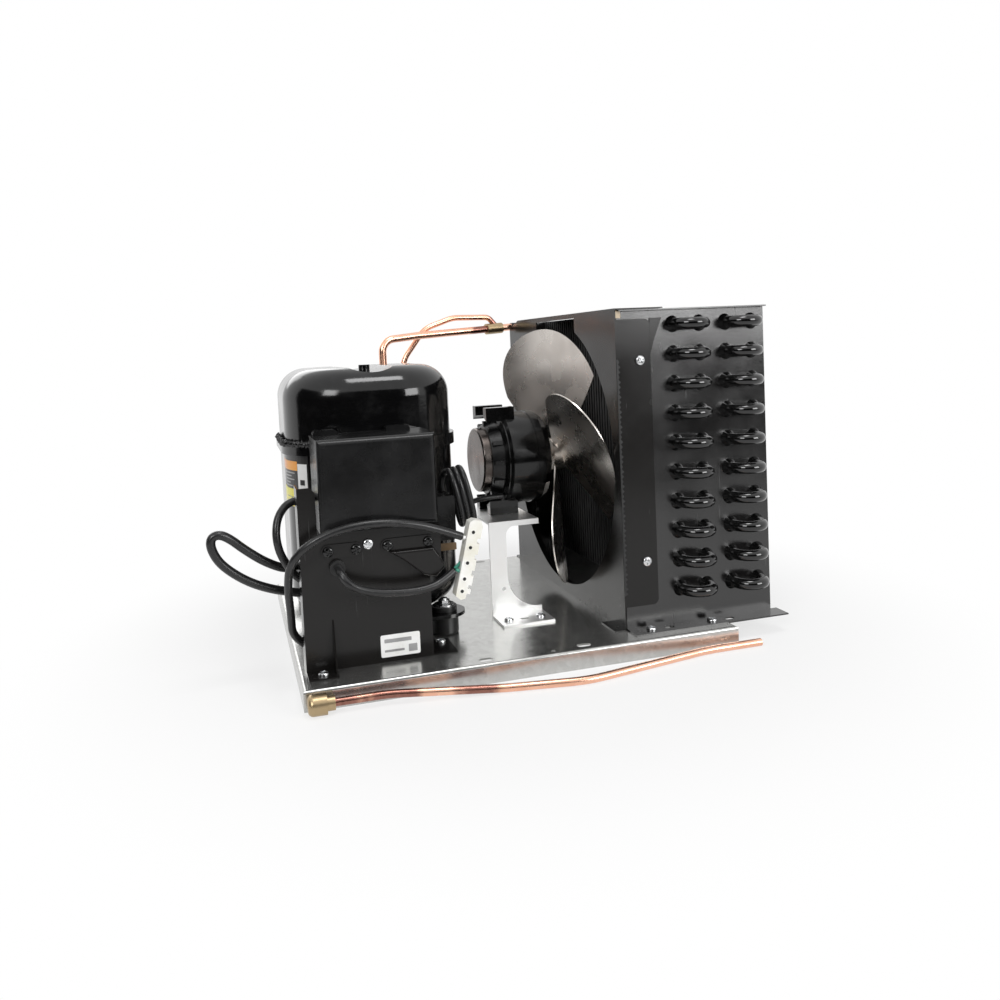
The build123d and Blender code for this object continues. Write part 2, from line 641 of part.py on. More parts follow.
# ---------------------------------------------------------------- motor bracket
def motor_bracket():
    """Sheet bracket: foot forward, waisted upright and a shelf backward under the motor's pads."""
    top = SHELF_TOP_Z
    left, right = BRACKET_X, BRACKET_X + BRACKET_WIDTH
    back = BRACKET_Y + BRACKET_SHEET
    foot_top = BASE_HEIGHT + BRACKET_SHEET
    foot = slab(left, right, BRACKET_Y - BRACKET_FOOT, back, BASE_HEIGHT, foot_top)
    upright = slab(left, right, BRACKET_Y, back, foot_top, top)
    waist_x = left + BRACKET_WAIST
    window = slab(waist_x, right + 2 * BRACKET_CORNER, BRACKET_Y - 1, back + 1, foot_top + 4, top - 5)
    window_corners = window.edges().filter_by(Axis.Y).group_by(Axis.X)[0].sort_by(Axis.Z)
    window = fillet(window_corners[:1], BRACKET_CORNER)
    window_corners = window.edges().filter_by(Axis.Y).group_by(Axis.X)[0].sort_by(Axis.Z)
    window = fillet(window_corners[-1:], BRACKET_TOP_CORNER)
    shelf = slab(left, right, BRACKET_Y, PAD_CENTRES_Y[1] + PAD_WIDTH, top - BRACKET_SHEET, top)
    bracket = foot + (upright - window) + shelf
    for x, y in BRACKET_SCREWS:
        bracket -= rod_z(SCREW_HOLE, BASE_HEIGHT - 1, foot_top + 1, x, y)
    bracket -= slot_z((left + right) / 2, BRACKET_SCREWS[0][1], 8, 4, BASE_HEIGHT - 1, foot_top + 1)
    bracket -= rod_y(2, BRACKET_Y - 1, back + 1, left + 12, 41)
    return bracket


def bracket_screws():
    seat = BASE_HEIGHT + BRACKET_SHEET
    return [screw((0, 0, 1), (x, y, seat)) for x, y in BRACKET_SCREWS]


# ---------------------------------------------------------------- compressor
def shell_plan(grow=0.0):
    return Pos(SHELL_X, SHELL_Y) * RectangleRounded(
        SHELL_WIDTH + 2 * grow, SHELL_LENGTH + 2 * grow, SHELL_CORNER + grow
    )


def shell_valley():
    centre_z = SHELL_TOP_Z + VALLEY_RADIUS - VALLEY_DEPTH
    return rod_y(VALLEY_RADIUS, SHELL_FRONT_Y - 5, SHELL_REAR_Y + 5, SHELL_X, centre_z)


def shell_column():
    """Room that the shell's side walls take, for cutting what seats on them."""
    return extrude(Pos(0, 0, SHELL_BOTTOM_Z) * shell_plan(), SHELL_TOP_Z - SHELL_BOTTOM_Z)


def lower_shell():
    body = extrude(Pos(0, 0, SHELL_BOTTOM_Z) * shell_plan(), SHELL_SEAM_Z - SHELL_BOTTOM_Z)
    body = fillet(body.edges().group_by(Axis.Z)[0], 24)
    return body + extrude(Pos(0, 0, SHELL_SEAM_Z - SEAM_LIP_HEIGHT) * shell_plan(SEAM_LIP), SEAM_LIP_HEIGHT)


def upper_shell():
    """Drawn cup with high rounded shoulders and a shallow valley along its middle."""
    body = extrude(Pos(0, 0, SHELL_SEAM_Z) * shell_plan(), SHELL_TOP_Z - SHELL_SEAM_Z)
    body = fillet(body.edges().group_by(Axis.Z)[-1], SHELL_SHOULDER)
    body += extrude(Pos(0, 0, SHELL_SEAM_Z) * shell_plan(SEAM_LIP), SEAM_LIP_HEIGHT)
    return body - shell_valley()


def dome_stud():
    """Short locating stud welded in the valley of the upper shell."""
    foot = SHELL_TOP_Z - VALLEY_DEPTH
    return rod_z(5, foot - 1, foot + 6, SHELL_X, SHELL_Y - 30) & shell_valley()


def foot_plate(y, toward_middle):
    """Stamped foot under one end of the shell, with an ear for a grommet at each end."""
    low, high = SHELL_BOTTOM_Z - FOOT_PLATE_SHEET, SHELL_BOTTOM_Z
    bar = Pos(SHELL_X, y, low) * extrude(
        SlotOverall(FOOT_SPACING_X + FOOT_PLATE_WIDTH, FOOT_PLATE_WIDTH), FOOT_PLATE_SHEET
    )
    tongue_y = sorted((y, y + toward_middle * 48))
    plate = bar + slab(SHELL_X - 34, SHELL_X + 34, tongue_y[0], tongue_y[1], low, high)
    for x, foot_y in FOOT_POINTS:
        plate -= rod_z(GROMMET_NECK_RADIUS, low - 1, high + 1, x, foot_y)
    return plate


def front_foot_plate():
    return foot_plate(SHELL_Y - FOOT_SPACING_Y / 2, 1)


def rear_foot_plate():
    return foot_plate(SHELL_Y + FOOT_SPACING_Y / 2, -1)


def grommets():
    """Rubber spool in each ear: a broad foot below the plate, a neck in the ear, a collar above."""
    low = SHELL_BOTTOM_Z - FOOT_PLATE_SHEET
    top = SHELL_BOTTOM_Z + 4
    spools = []
    for x, y in FOOT_POINTS:
        spool = rod_z(GROMMET_RADIUS, BASE_HEIGHT, low, x, y)
        spool = fillet(spool.edges().group_by(Axis.Z)[0], 2)
        spool += rod_z(GROMMET_NECK_RADIUS, low, SHELL_BOTTOM_Z, x, y)
        spool += rod_z(GROMMET_NECK_RADIUS + 2, SHELL_BOTTOM_Z, top, x, y)
        spools.append(spool - rod_z(SLEEVE_RADIUS, BASE_HEIGHT - 1, top + 1, x, y))
    return spools


def grommet_sleeves():
    top = SHELL_BOTTOM_Z + 4
    bore = STUD_RADIUS + CLEARANCE
    return [
        rod_z(SLEEVE_RADIUS, BASE_HEIGHT, top, x, y) - rod_z(bore, BASE_HEIGHT - 1, top + 1, x, y)
        for x, y in FOOT_POINTS
    ]


def foot_washers():
    low = SHELL_BOTTOM_Z + 4
    return [
        rod_z(9, low, low + 1.5, x, y) - rod_z(STUD_RADIUS + CLEARANCE, low - 1, low + 3, x, y)
        for x, y in FOOT_POINTS
    ]


def foot_bolts():
    """Bolt up through the pan and sleeve, with its head below the pan and a low nut above the washer."""
    head_top = BASE_HEIGHT - BASE_SHEET
    nut_low = SHELL_BOTTOM_Z + 5.5
    bolts = []
    for x, y in FOOT_POINTS:
        bolt = rod_z(STUD_RADIUS, head_top, nut_low + 5, x, y)
        bolt += Pos(x, y, head_top - 3) * extrude(RegularPolygon(5, 6), 3)
        bolts.append(bolt)
    return bolts


def foot_nuts():
    low = SHELL_BOTTOM_Z + 5.5
    return [
        Pos(x, y, low) * extrude(RegularPolygon(5.2, 6) - Circle(STUD_RADIUS), 3.5) for x, y in FOOT_POINTS
    ]


# ---------------------------------------------------------------- terminal cover and shield
def terminal_cover():
    """Moulded snap-on cover, open at the back, with a bevelled left side and two latch tabs on top."""
    left, right = COVER_X, COVER_X + COVER_WIDTH
    rear = SHELL_FRONT_Y - CLEARANCE
    top = COVER_BOTTOM_Z + COVER_HEIGHT
    body = slab(left, right, COVER_FRONT_Y, rear, COVER_BOTTOM_Z, top)
    front_edges = body.edges().group_by(Axis.Y)[0]
    body = fillet(front_edges, 5)
    hollow = slab(
        left + COVER_WALL,
        right - COVER_WALL,
        COVER_FRONT_Y + COVER_WALL,
        rear + 1,
        COVER_BOTTOM_Z + COVER_WALL,
        top - COVER_WALL,
    )
    body -= hollow
    seam_low = SHELL_SEAM_Z - SEAM_LIP_HEIGHT - CLEARANCE
    body -= extrude(Pos(0, 0, seam_low) * shell_plan(SEAM_LIP + CLEARANCE), 2 * (SEAM_LIP_HEIGHT + CLEARANCE))
    for x in (left + 10, right - 24):
        tab = slab(x - 8, x + 12, rear - 14, rear - 2, top - 1, top + 4)
        body += fillet(tab.edges().filter_by(Axis.Y).group_by(Axis.Z)[-1], 3)
    return body


def terminal_block_seat():
    """Moulded terminal carrier on the shell inside the cover, with three terminal pins."""
    rear = SHELL_FRONT_Y
    centre_x = COVER_X + COVER_WIDTH / 2
    centre_z = COVER_BOTTOM_Z + COVER_HEIGHT / 2
    carrier = slab(centre_x - 22, centre_x + 22, rear - 20, rear, centre_z - 20, centre_z + 16)
    for angle in (90, 210, 330):
        x = centre_x + 9 * cos(radians(angle))
        z = centre_z + 9 * sin(radians(angle))
        carrier += rod_y(1.6, rear - 30, rear - 19, x, z)
    return carrier


def shield():
    """Folded sheet shield in front of the compressor, standing on the pan on two feet."""
    left, right = SHIELD_X, SHIELD_X + SHIELD_WIDTH
    back = SHIELD_Y + SHIELD_SHEET
    strip_right = left + SHIELD_STRIP_WIDTH
    outline = Polyline(
        (left, BASE_HEIGHT),
        (right, BASE_HEIGHT),
        (right, CLAMP_Z - 26),
        (right + SHIELD_EAR_WIDTH, CLAMP_Z - 14),
        (right + SHIELD_EAR_WIDTH, SHIELD_TOP_Z),
        (strip_right, SHIELD_TOP_Z),
        (strip_right, SHIELD_STRIP_TOP_Z - 4),
        (strip_right - 4, SHIELD_STRIP_TOP_Z),
        (left, SHIELD_STRIP_TOP_Z),
        close=True,
    )
    panel = extrude(Plane(origin=(0, SHIELD_Y, 0), x_dir=(1, 0, 0), z_dir=(0, -1, 0)) * make_face(outline), -SHIELD_SHEET)
    left_return = slab(left, left + SHIELD_SHEET, SHIELD_Y, SHIELD_Y + SHIELD_LEFT_RETURN, BASE_HEIGHT, SHIELD_STRIP_TOP_Z)
    right_return = slab(
        right - SHIELD_SHEET, right, SHIELD_Y, SHIELD_Y + SHIELD_RIGHT_RETURN, BASE_HEIGHT, CLAMP_Z - 26
    )
    foot_top = BASE_HEIGHT + SHIELD_SHEET
    tab = slab(left, left + SHIELD_TAB_WIDTH, SHIELD_Y - SHIELD_TAB_DEPTH, SHIELD_Y, BASE_HEIGHT, foot_top)
    side_foot = slab(right, right + SHIELD_SIDE_FOOT, SHIELD_Y, SHIELD_Y + SHIELD_RIGHT_RETURN, BASE_HEIGHT, foot_top)
    gusset_x = left + SHIELD_TAB_WIDTH
    gusset_outline = Polyline(
        (SHIELD_Y - SHIELD_TAB_DEPTH + 6, BASE_HEIGHT),
        (SHIELD_Y, BASE_HEIGHT),
        (SHIELD_Y, BASE_HEIGHT + 40),
        close=True,
    )
    gusset_plane = Plane(origin=(gusset_x - SHIELD_SHEET, 0, 0), x_dir=(0, 1, 0), z_dir=(1, 0, 0))
    gusset = extrude(gusset_plane * make_face(gusset_outline), SHIELD_SHEET)
    body = panel + left_return + right_return + tab + side_foot + gusset
    for x, y in (SHIELD_TAB_SCREW, SHIELD_SIDE_SCREW):
        body -= rod_z(SCREW_HOLE, BASE_HEIGHT - 1, foot_top + 1, x, y)
    for x, z in clamp_screw_points() + [GROUND_SCREW]:
        body -= rod_y(SCREW_HOLE, SHIELD_Y - 1, back + 1, x, z)
    return body - rod_y(GLAND_RADIUS - 1.5, SHIELD_Y - 1, back + 1, GLAND_X, GLAND_Z)


def clamp_screw_points():
    points = []
    for x, length in CLAMPS.values():
        points += [(x + 5.5, CLAMP_Z), (x + length - 5.5, CLAMP_Z)]
    return points


def cord_clamp(side):
    """Flat strap with rounded ends, screwed to the shield."""
    x, length = CLAMPS[side]
    front = SHIELD_Y - CLAMP_SHEET
    strap = Plane(origin=(x + length / 2, SHIELD_Y, CLAMP_Z), x_dir=(1, 0, 0), z_dir=(0, -1, 0)) * SlotOverall(
        length, CLAMP_HEIGHT
    )
    strap = extrude(strap, CLAMP_SHEET)
    if side == "right":
        strap += clamp_pouch(x + length)
    for screw_x, z in clamp_screw_points():
        strap -= rod_y(SCREW_HOLE, front - 1, SHIELD_Y + 1, screw_x, z)
    return strap


def clamp_pouch(right):
    """Bulged cord holder that hangs under the right strap."""
    outline = Polyline(
        (right - 38, CLAMP_Z - 4.5),
        (right - 27, CLAMP_Z - 12),
        (right - 11, CLAMP_Z - 26),
        (right - 1, CLAMP_Z - 29),
        (right + 7, CLAMP_Z - 21),
        (right + 3, CLAMP_Z - 12),
        (right - 2, CLAMP_Z - 4.5),
        close=True,
    )
    face = Plane(origin=(0, SHIELD_Y, 0), x_dir=(1, 0, 0), z_dir=(0, -1, 0)) * make_face(outline)
    pouch = extrude(face, POUCH_DEPTH)
    pouch = fillet(pouch.edges().filter_by(Axis.Y).group_by(Axis.Z)[:4][0], 4)
    return fillet(pouch.edges().group_by(Axis.Y)[0], 2)


def clamp_screws():
    return [screw((0, -1, 0), (x, SHIELD_Y - CLAMP_SHEET, z)) for x, z in clamp_screw_points()]


def shield_screws():
    foot_seat = BASE_HEIGHT + SHIELD_SHEET
    screws = [screw((0, 0, 1), (x, y, foot_seat)) for x, y in (SHIELD_TAB_SCREW, SHIELD_SIDE_SCREW)]
    screws.append(screw((0, -1, 0), (GROUND_SCREW[0], SHIELD_Y, GROUND_SCREW[1])))
    return screws


def cord_gland():
    """Moulded strain relief through the shield below the left clamp."""
    neck = GLAND_RADIUS - 1.5 - CLEARANCE
    gland = rod_y(neck, SHIELD_Y - 2, SHIELD_Y + SHIELD_SHEET + 4, GLAND_X, GLAND_Z)
    gland += rod_y(GLAND_RADIUS, SHIELD_Y - 5, SHIELD_Y, GLAND_X, GLAND_Z)
    return gland


def relay_housing():
    """Start relay housing beside the cover, on the front right of the compressor."""
    rear = SHELL_FRONT_Y + 14
    body = slab(RELAY_LEFT_X, RELAY_RIGHT_X, RELAY_FRONT_Y, rear, RELAY_BOTTOM_Z, RELAY_TOP_Z)
    body = fillet(body.edges().filter_by(Axis.Y), 2)
    wall = extrude(Pos(0, 0, RELAY_BOTTOM_Z - 1) * shell_plan(CLEARANCE), RELAY_HEIGHT + 2)
    return body - wall


# ---------------------------------------------------------------- copper tubes
JOINT_START = Vector(246, SHELL_REAR_Y + 43, 283)
JOINT_LEAD_IN = Vector(160, SHELL_REAR_Y + 22, 278.5)
JOINT_AXIS = (JOINT_START - JOINT_LEAD_IN).normalized()
JOINT_LENGTH = 20.0
JOINT_RADIUS = 6.0
JOINT_END = JOINT_START + JOINT_AXIS * JOINT_LENGTH
LINE_BACK_Y = COIL_REAR_Y + 13


def discharge_tube():
    """Hot gas line: out of the shell's back, up past the dome and across to the brass joint."""
    points = [
        (121, SHELL_REAR_Y - 12, 150),
        (121, SHELL_REAR_Y + 12, 150),
        (121, SHELL_REAR_Y + 12, 275),
        tuple(JOINT_LEAD_IN),
        tuple(JOINT_START),
    ]
    return round_tube(points, DISCHARGE_RADIUS, [10, 14, 60]) - shell_column()


def tube_junction():
    """Brass joint that takes the two tubes from the compressor into the condenser inlet."""
    path = Line(JOINT_START, JOINT_END)
    return sweep(Plane(origin=JOINT_START, z_dir=JOINT_AXIS) * Circle(JOINT_RADIUS), path)


def condenser_inlet_tube():
    inlet_z = tube_z(TUBE_ROWS - 1)
    points = [
        tuple(JOINT_END),
        tuple(JOINT_END + JOINT_AXIS * 14),
        (tube_x(0) - 18, LINE_BACK_Y, inlet_z + 5),
        (tube_x(0), LINE_BACK_Y, inlet_z),
        (tube_x(0), COIL_REAR_Y - PLATE_SHEET - 1.5, inlet_z),
    ]
    return round_tube(points, DISCHARGE_RADIUS, [12, 12, 7])


def return_tube():
    """Thinner line that rises from the shell's back and loops over into the brass joint."""
    middle = JOINT_START + JOINT_AXIS * (JOINT_LENGTH - 5)
    back = SHELL_REAR_Y + 31
    points = [
        (146, SHELL_REAR_Y - 30, 140),
        (146, back, 140),
        (146, back, 252),
        (172, back + 2, 286),
        (206, back + 7, 297),
        (250, back + 16, 296.5),
        tuple(middle),
    ]
    return round_tube(points, THIN_TUBE_RADIUS, [12, 30, 30, 40, 9]) - shell_column() - tube_junction()


def suction_stub():
    """Open copper stub for the return line from the evaporator."""
    back = SHELL_REAR_Y + 24
    points = [(70, SHELL_REAR_Y, 118), (70, back, 118), (70, back, 172)]
    return round_tube(points, STUB_RADIUS, [14], STUB_RADIUS - 0.8)


def front_tube():
    """Copper line lying along the front of the pan."""
    points = [
        (VALVE_END_X, VALVE_Y, VALVE_RADIUS),
        (62, VALVE_Y, VALVE_RADIUS),
        (150, -21, FRONT_TUBE_RADIUS + 0.4),
        (214, -31, FRONT_TUBE_RADIUS + 0.2),
        (330, -9.5, FRONT_TUBE_RADIUS + 0.2),
        (381, -9.5, FRONT_TUBE_RADIUS + 0.2),
    ]
    return round_tube(points, FRONT_TUBE_RADIUS, [120, 250, 90, 120])


def service_valve():
    """Brass valve body with a round capped end, brazed on the front line."""
    shoulder_x = VALVE_END_X - 6
    body = rod_x(VALVE_RADIUS, 2, shoulder_x, VALVE_Y, VALVE_RADIUS)
    body = fillet(body.edges().group_by(Axis.X)[0], VALVE_RADIUS * 0.5)
    return body + rod_x(VALVE_RADIUS * 0.7, shoulder_x, VALVE_END_X, VALVE_Y, VALVE_RADIUS)


# ---------------------------------------------------------------- cords
BLOCK_CENTRE = (138.0, 28.0, 94.0)
BLOCK_TILT = 14.0
HANK_TILT = 12.0
HANK_SIZE = (15.0, 30.0, 54.0)
HANK_CORNER = Vector(RELAY_RIGHT_X, RELAY_FRONT_Y + 12, RELAY_TOP_Z - 0.6)
HANK_SIDE = Vector(cos(radians(HANK_TILT)), 0, sin(radians(HANK_TILT)))
HANK_RISE = Vector(-sin(radians(HANK_TILT)), 0, cos(radians(HANK_TILT)))
HANK_CENTRE = HANK_CORNER + HANK_SIDE * (HANK_SIZE[0] / 2) - HANK_RISE * 4

POWER_CORD = [
    (13, 67, 26),
    (-1.5, 63, 36),
    (-2.5, 51, 60),
    (-4.5, 38, 85),
    (-2.5, 27, 106),
    (13, 20, 122),
    (37, 18.5, 130.5),
    (65, 18.5, 132.5),
    (93, 19.5, 128.5),
    (117, 23, 120),
    (133, 26, 113),
]
SUPPLY_CORD = [
    (GLAND_X, SHIELD_Y - 5, GLAND_Z),
    (GLAND_X, SHIELD_Y - 15, GLAND_Z),
    (39, 16, 88),
    (52, 16, 80.5),
    (73, 16.5, 76.5),
    (97, 18, 75.5),
    (114, 21, 79),
    (125, 25, 86),
]
LOOP_CORD = [
    (38, 74, COVER_BOTTOM_Z),
    (38, 74, 110),
    (18, 74, 99),
    (0, 73, 90),
    (-18, 68, 99),
    (-34, 64, 112),
    (-47, 60, 124),
    (-57, 58, 128),
    (-61, 58, 118),
    (-53, 60, 103),
    (-36, 64, 88),
    (-18, 69, 78),
    (0, 73, 72),
    (20, 74, 67),
    (45, 74, 70),
    (60, 74, 92),
    (60, 74, COVER_BOTTOM_Z),
]
SIDE_CORD = [
    (COVER_X, 65, 149),
    (4, 65, 149),
    (-7, 60, 139),
    (-10.5, 55, 125),
    (-8.5, 54, 110),
    (-3, 59, 98),
    (3, 66, 87),
    (14, 66, 78),
    (36, 60, 68),
    (60, 60, 66),
    (82, 66, 74),
    (92, 76, 92),
    (98, 76, 112),
    (RELAY_LEFT_X, 76, 112),
]
FAN_LEAD = [
    (HANK_CENTRE.X + 2, HANK_CENTRE.Y + HANK_SIZE[1] / 2, HANK_CENTRE.Z - 10),
    (HANK_CENTRE.X + 2, 100, HANK_CENTRE.Z - 10),
    (160, 120, 118),
    (180, 143, 121),
    (MOTOR_REAR_X, 143, 121),
]


def terminal_block():
    """Open nylon connector strip hanging on its wires beside the shield."""
    block = Box(13, 12, 66)
    for step in range(4):
        z = -24 + 16 * step
        block -= Pos(0, 0, z) * Box(7, 20, 8)
        block -= Pos(5, 0, z + 8) * Box(8, 20, 3)
    return Pos(*BLOCK_CENTRE) * Rot(0, BLOCK_TILT, 0) * block


def wires(ends, targets):
    """Single wires from a cord's end to the connector strip."""
    strip = terminal_block()
    made = []
    for start, target in zip(ends, targets):
        path = Line(start, target)
        made.append(sweep(Plane(origin=path @ 0, z_dir=path % 0) * Circle(WIRE_RADIUS), path) - strip)
    return made


def power_wires():
    x, y, z = POWER_CORD[-1]
    ends = [(x + 0.5, y + step, z - 0.5) for step in (-1.6, 1.6)]
    return wires(ends, [(x + 12, y + 1 + step, z - 9 - 4 * step) for step in (-1.6, 1.6)])


def supply_wires():
    x, y, z = SUPPLY_CORD[-1]
    ends = [(x + 1.6, y + 0.8 + step, z + 1.4) for step in (-1.6, 1.6)]
    return wires(ends, [(x + 15, y + 1 + step, z + 3 + 6 * step) for step in (-1.6, 1.6)])


def fan_lead_hank():
    """Outer shape of the spare fan lead, wound up and tied."""
    width, depth, height = HANK_SIZE
    hank = Box(width, depth, height)
    hank = fillet(hank.edges().filter_by(Axis.X), depth * 0.45)
    return Pos(HANK_CENTRE) * Rot(0, -HANK_TILT, 0) * hank


# ---------------------------------------------------------------- write the pieces
PIECES = {
    "base_pan": base_pan,
    "condenser_front_plate": lambda: end_plate(True),
    "condenser_rear_plate": lambda: end_plate(False),
    "condenser_fin_pack": fin_pack,
    "front_return_bends": front_return_bends,
    "rear_return_bends": rear_return_bends,
    "condenser_foot_screws": coil_foot_screws,
    "fan_shroud": shroud,
    "shroud_screws": shroud_screws,
    "fan_blades": fan_blades,
    "fan_hub": fan_hub,
    "motor_end_cap": motor_end_cap,
    "motor_rear_ring": motor_rear_ring,
    "motor_rear_housing": motor_rear_housing,
    "motor_stator": motor_stator,
    "motor_front_housing": motor_front_housing,
    "motor_bearings": motor_bearings,
    "motor_shaft": motor_shaft,
    "motor_rotor": motor_rotor,
    "motor_bracket": motor_bracket,
    "bracket_screws": bracket_screws,
    "compressor_lower_shell": lower_shell,
    "compressor_upper_shell": upper_shell,
    "dome_stud": dome_stud,
    "front_foot_plate": front_foot_plate,
    "rear_foot_plate": rear_foot_plate,
    "foot_grommets": grommets,
    "grommet_sleeves": grommet_sleeves,
    "foot_washers": foot_washers,
    "foot_bolts": foot_bolts,
    "foot_nuts": foot_nuts,
    "terminal_cover": terminal_cover,
    "terminal_carrier": terminal_block_seat,
    "compressor_shield": shield,
    "left_cord_clamp": lambda: cord_clamp("left"),
    "right_cord_clamp": lambda: cord_clamp("right"),
    "clamp_screws": clamp_screws,
    "shield_screws": shield_screws,
    "cord_gland": cord_gland,
    "relay_housing": relay_housing,
    "discharge_tube": discharge_tube,
    "condenser_inlet_tube": condenser_inlet_tube,
    "tube_junction": tube_junction,
    "return_tube": return_tube,
    "suction_stub": suction_stub,
    "front_copper_tube": front_tube,
    "service_valve": service_valve,
    "terminal_block": terminal_block,
    "power_cord": lambda: cord(POWER_CORD, CORD_RADIUS),
    "supply_cord": lambda: cord(SUPPLY_CORD, CORD_RADIUS),
    "loop_cord": lambda: cord(LOOP_CORD, LOOP_CORD_RADIUS),
    "side_cord": lambda: cord(SIDE_CORD, CORD_RADIUS),
    "fan_lead": lambda: cord(FAN_LEAD, LEAD_RADIUS),
    "fan_lead_hank": fan_lead_hank,
    "power_wires": power_wires,
    "supply_wires": supply_wires,
}
CORD_PIECES = {
    "terminal_block",
    "power_cord",
    "supply_cord",
    "loop_cord",
    "side_cord",
    "fan_lead",
    "fan_lead_hank",
    "power_wires",
    "supply_wires",
}


def solids_of(made):
    pieces = made if isinstance(made, list) else [made]
    return [solid for piece in pieces for solid in piece.solids()]


def standing_origin(built):
    """Bottom centre of everything but the free cords."""
    rigid = [solid for name, solids in built.items() if name not in CORD_PIECES for solid in solids]
    box = Compound(children=rigid).bounding_box()
    return Vector((box.min.X + box.max.X) / 2, (box.min.Y + box.max.Y) / 2, box.min.Z)


if __name__ == "__main__":
    os.makedirs("parts", exist_ok=True)
    built = {name: solids_of(make()) for name, make in PIECES.items()}
    origin = standing_origin(built)
    for name, solids in built.items():
        moved = Pos(-origin.X, -origin.Y, -origin.Z) * Compound(children=solids)
        export_step(moved, f"parts/{name}.step")
        print(name, len(solids))
    print("origin in build axes", round(origin.X, 4), round(origin.Y, 4), round(origin.Z, 4))
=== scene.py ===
"""Looks of the refrigeration condensing unit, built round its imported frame.

Everything is in metres in the frame of the CAD model: +X from the compressor to the condenser, +Y to the
back, +Z up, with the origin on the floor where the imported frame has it.
"""

import json
import math

import bmesh
import bpy
from mathutils import Matrix, Vector


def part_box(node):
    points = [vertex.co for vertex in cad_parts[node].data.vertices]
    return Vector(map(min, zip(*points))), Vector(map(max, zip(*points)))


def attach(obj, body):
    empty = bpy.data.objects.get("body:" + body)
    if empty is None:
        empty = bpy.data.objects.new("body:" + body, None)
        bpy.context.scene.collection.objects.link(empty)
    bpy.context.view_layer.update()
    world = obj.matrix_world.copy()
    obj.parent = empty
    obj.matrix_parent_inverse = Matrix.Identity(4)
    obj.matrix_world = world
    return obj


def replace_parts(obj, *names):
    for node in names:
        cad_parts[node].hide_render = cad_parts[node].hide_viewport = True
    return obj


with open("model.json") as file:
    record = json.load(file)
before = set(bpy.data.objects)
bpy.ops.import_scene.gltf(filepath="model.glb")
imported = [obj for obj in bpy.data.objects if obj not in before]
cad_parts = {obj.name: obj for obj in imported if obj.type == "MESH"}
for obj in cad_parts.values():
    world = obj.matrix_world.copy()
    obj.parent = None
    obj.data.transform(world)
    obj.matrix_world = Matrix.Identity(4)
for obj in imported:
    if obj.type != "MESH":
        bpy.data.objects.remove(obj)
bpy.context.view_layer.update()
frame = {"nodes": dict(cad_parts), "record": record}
nodes = frame["nodes"]

# The front left corner of the pan on the floor. Routes and places along the pan are counted from it.
CORNER = Vector((-0.21145, -0.147284, 0.0))

# ---------------------------------------------------------------- camera, lamps and room
CAMERA_PLACE = (-0.2529, -0.7915, 0.2643)
CAMERA_YAW = math.radians(15.941)
CAMERA_PITCH = math.radians(-3.472)
CAMERA_ROLL = math.radians(-2.675)
CAMERA_LENS = 31.47
CAMERA_SHIFT = (0.0245, -0.1006)
CAMERA_SENSOR = 36.0

WHITE = (1, 1, 1, 1)
ROOM_LIGHT = 0.42

FLOOR_COLOUR = (0.90, 0.90, 0.90)
FLOOR_ROUGHNESS = 0.8
FLOOR_RADIUS = 1.0
FLOOR_SIDES = 64
FADE_START = 0.24
FADE_END = 0.46
LEAST_WHITE = 0.7

CARD_DARK = (0.02, 0.02, 0.02)
CARD_HALF_WIDTH = 3.0
CARD_FRONT_Y = -2.6
CARD_LEFT_X = -2.3
CARD_LEFT_END_Y = 0.6
CARD_LOW_Z = -0.3
CARD_HIGH_Z = 1.5
FLOOR_CARD_Z = -0.01
FLOOR_CARD_NEAR = FLOOR_RADIUS * 0.9

SOFT_BOX_TARGET = (0.0, 0.0, 0.12)
SOFT_BOXES = {
    "overhead": ((0.1, -0.5, 1.6), (0.55, 0.4), 9.0),
    "left_box": ((-1.25, -1.45, 1.05), (0.8, 0.65), 8.0),
    "right_box": ((1.25, -1.8, 0.70), (1.0, 0.8), 8.5),
    "back_box": ((-0.6, 2.2, 1.2), (1.6, 1.0), 2.0),
}


def from_corner(x, y, z):
    """Point given in metres from the pan's front left corner."""
    return CORNER + Vector((x, y, z))


def add_camera():
    forward = Vector(
        (
            math.sin(CAMERA_YAW) * math.cos(CAMERA_PITCH),
            math.cos(CAMERA_YAW) * math.cos(CAMERA_PITCH),
            math.sin(CAMERA_PITCH),
        )
    )
    level_right = Vector((math.cos(CAMERA_YAW), -math.sin(CAMERA_YAW), 0.0))
    level_up = level_right.cross(forward)
    right = level_right * math.cos(CAMERA_ROLL) + level_up * math.sin(CAMERA_ROLL)
    up = right.cross(forward)
    data = bpy.data.cameras.new("camera")
    data.lens = CAMERA_LENS
    data.sensor_width = CAMERA_SENSOR
    data.shift_x, data.shift_y = CAMERA_SHIFT
    data.clip_start = 0.01
    camera = bpy.data.objects.new("camera", data)
    bpy.context.scene.collection.objects.link(camera)
    basis = Matrix((right, up, -forward)).transposed().to_4x4()
    camera.matrix_world = Matrix.Translation(CAMERA_PLACE) @ basis
    bpy.context.scene.camera = camera


def add_lamp(name, place, target, size, power):
    data = bpy.data.lights.new(name, "AREA")
    data.shape = "RECTANGLE"
    data.size, data.size_y = size
    data.energy = power
    lamp = bpy.data.objects.new(name, data)
    bpy.context.scene.collection.objects.link(lamp)
    direction = Vector(target) - Vector(place)
    lamp.rotation_euler = direction.to_track_quat("-Z", "Y").to_euler()
    lamp.location = place


def light_path_white(tree):
    """1 for the rays that show the room: straight to the camera, mirrored or through glass."""
    path = tree.nodes.new("ShaderNodeLightPath")
    shown = path.outputs["Is Camera Ray"]
    for kind in ("Is Transmission Ray", "Is Glossy Ray"):
        either = tree.nodes.new("ShaderNodeMath")
        either.operation = "MAXIMUM"
        tree.links.new(shown, either.inputs[0])
        tree.links.new(path.outputs[kind], either.inputs[1])
        shown = either.outputs[0]
    return shown


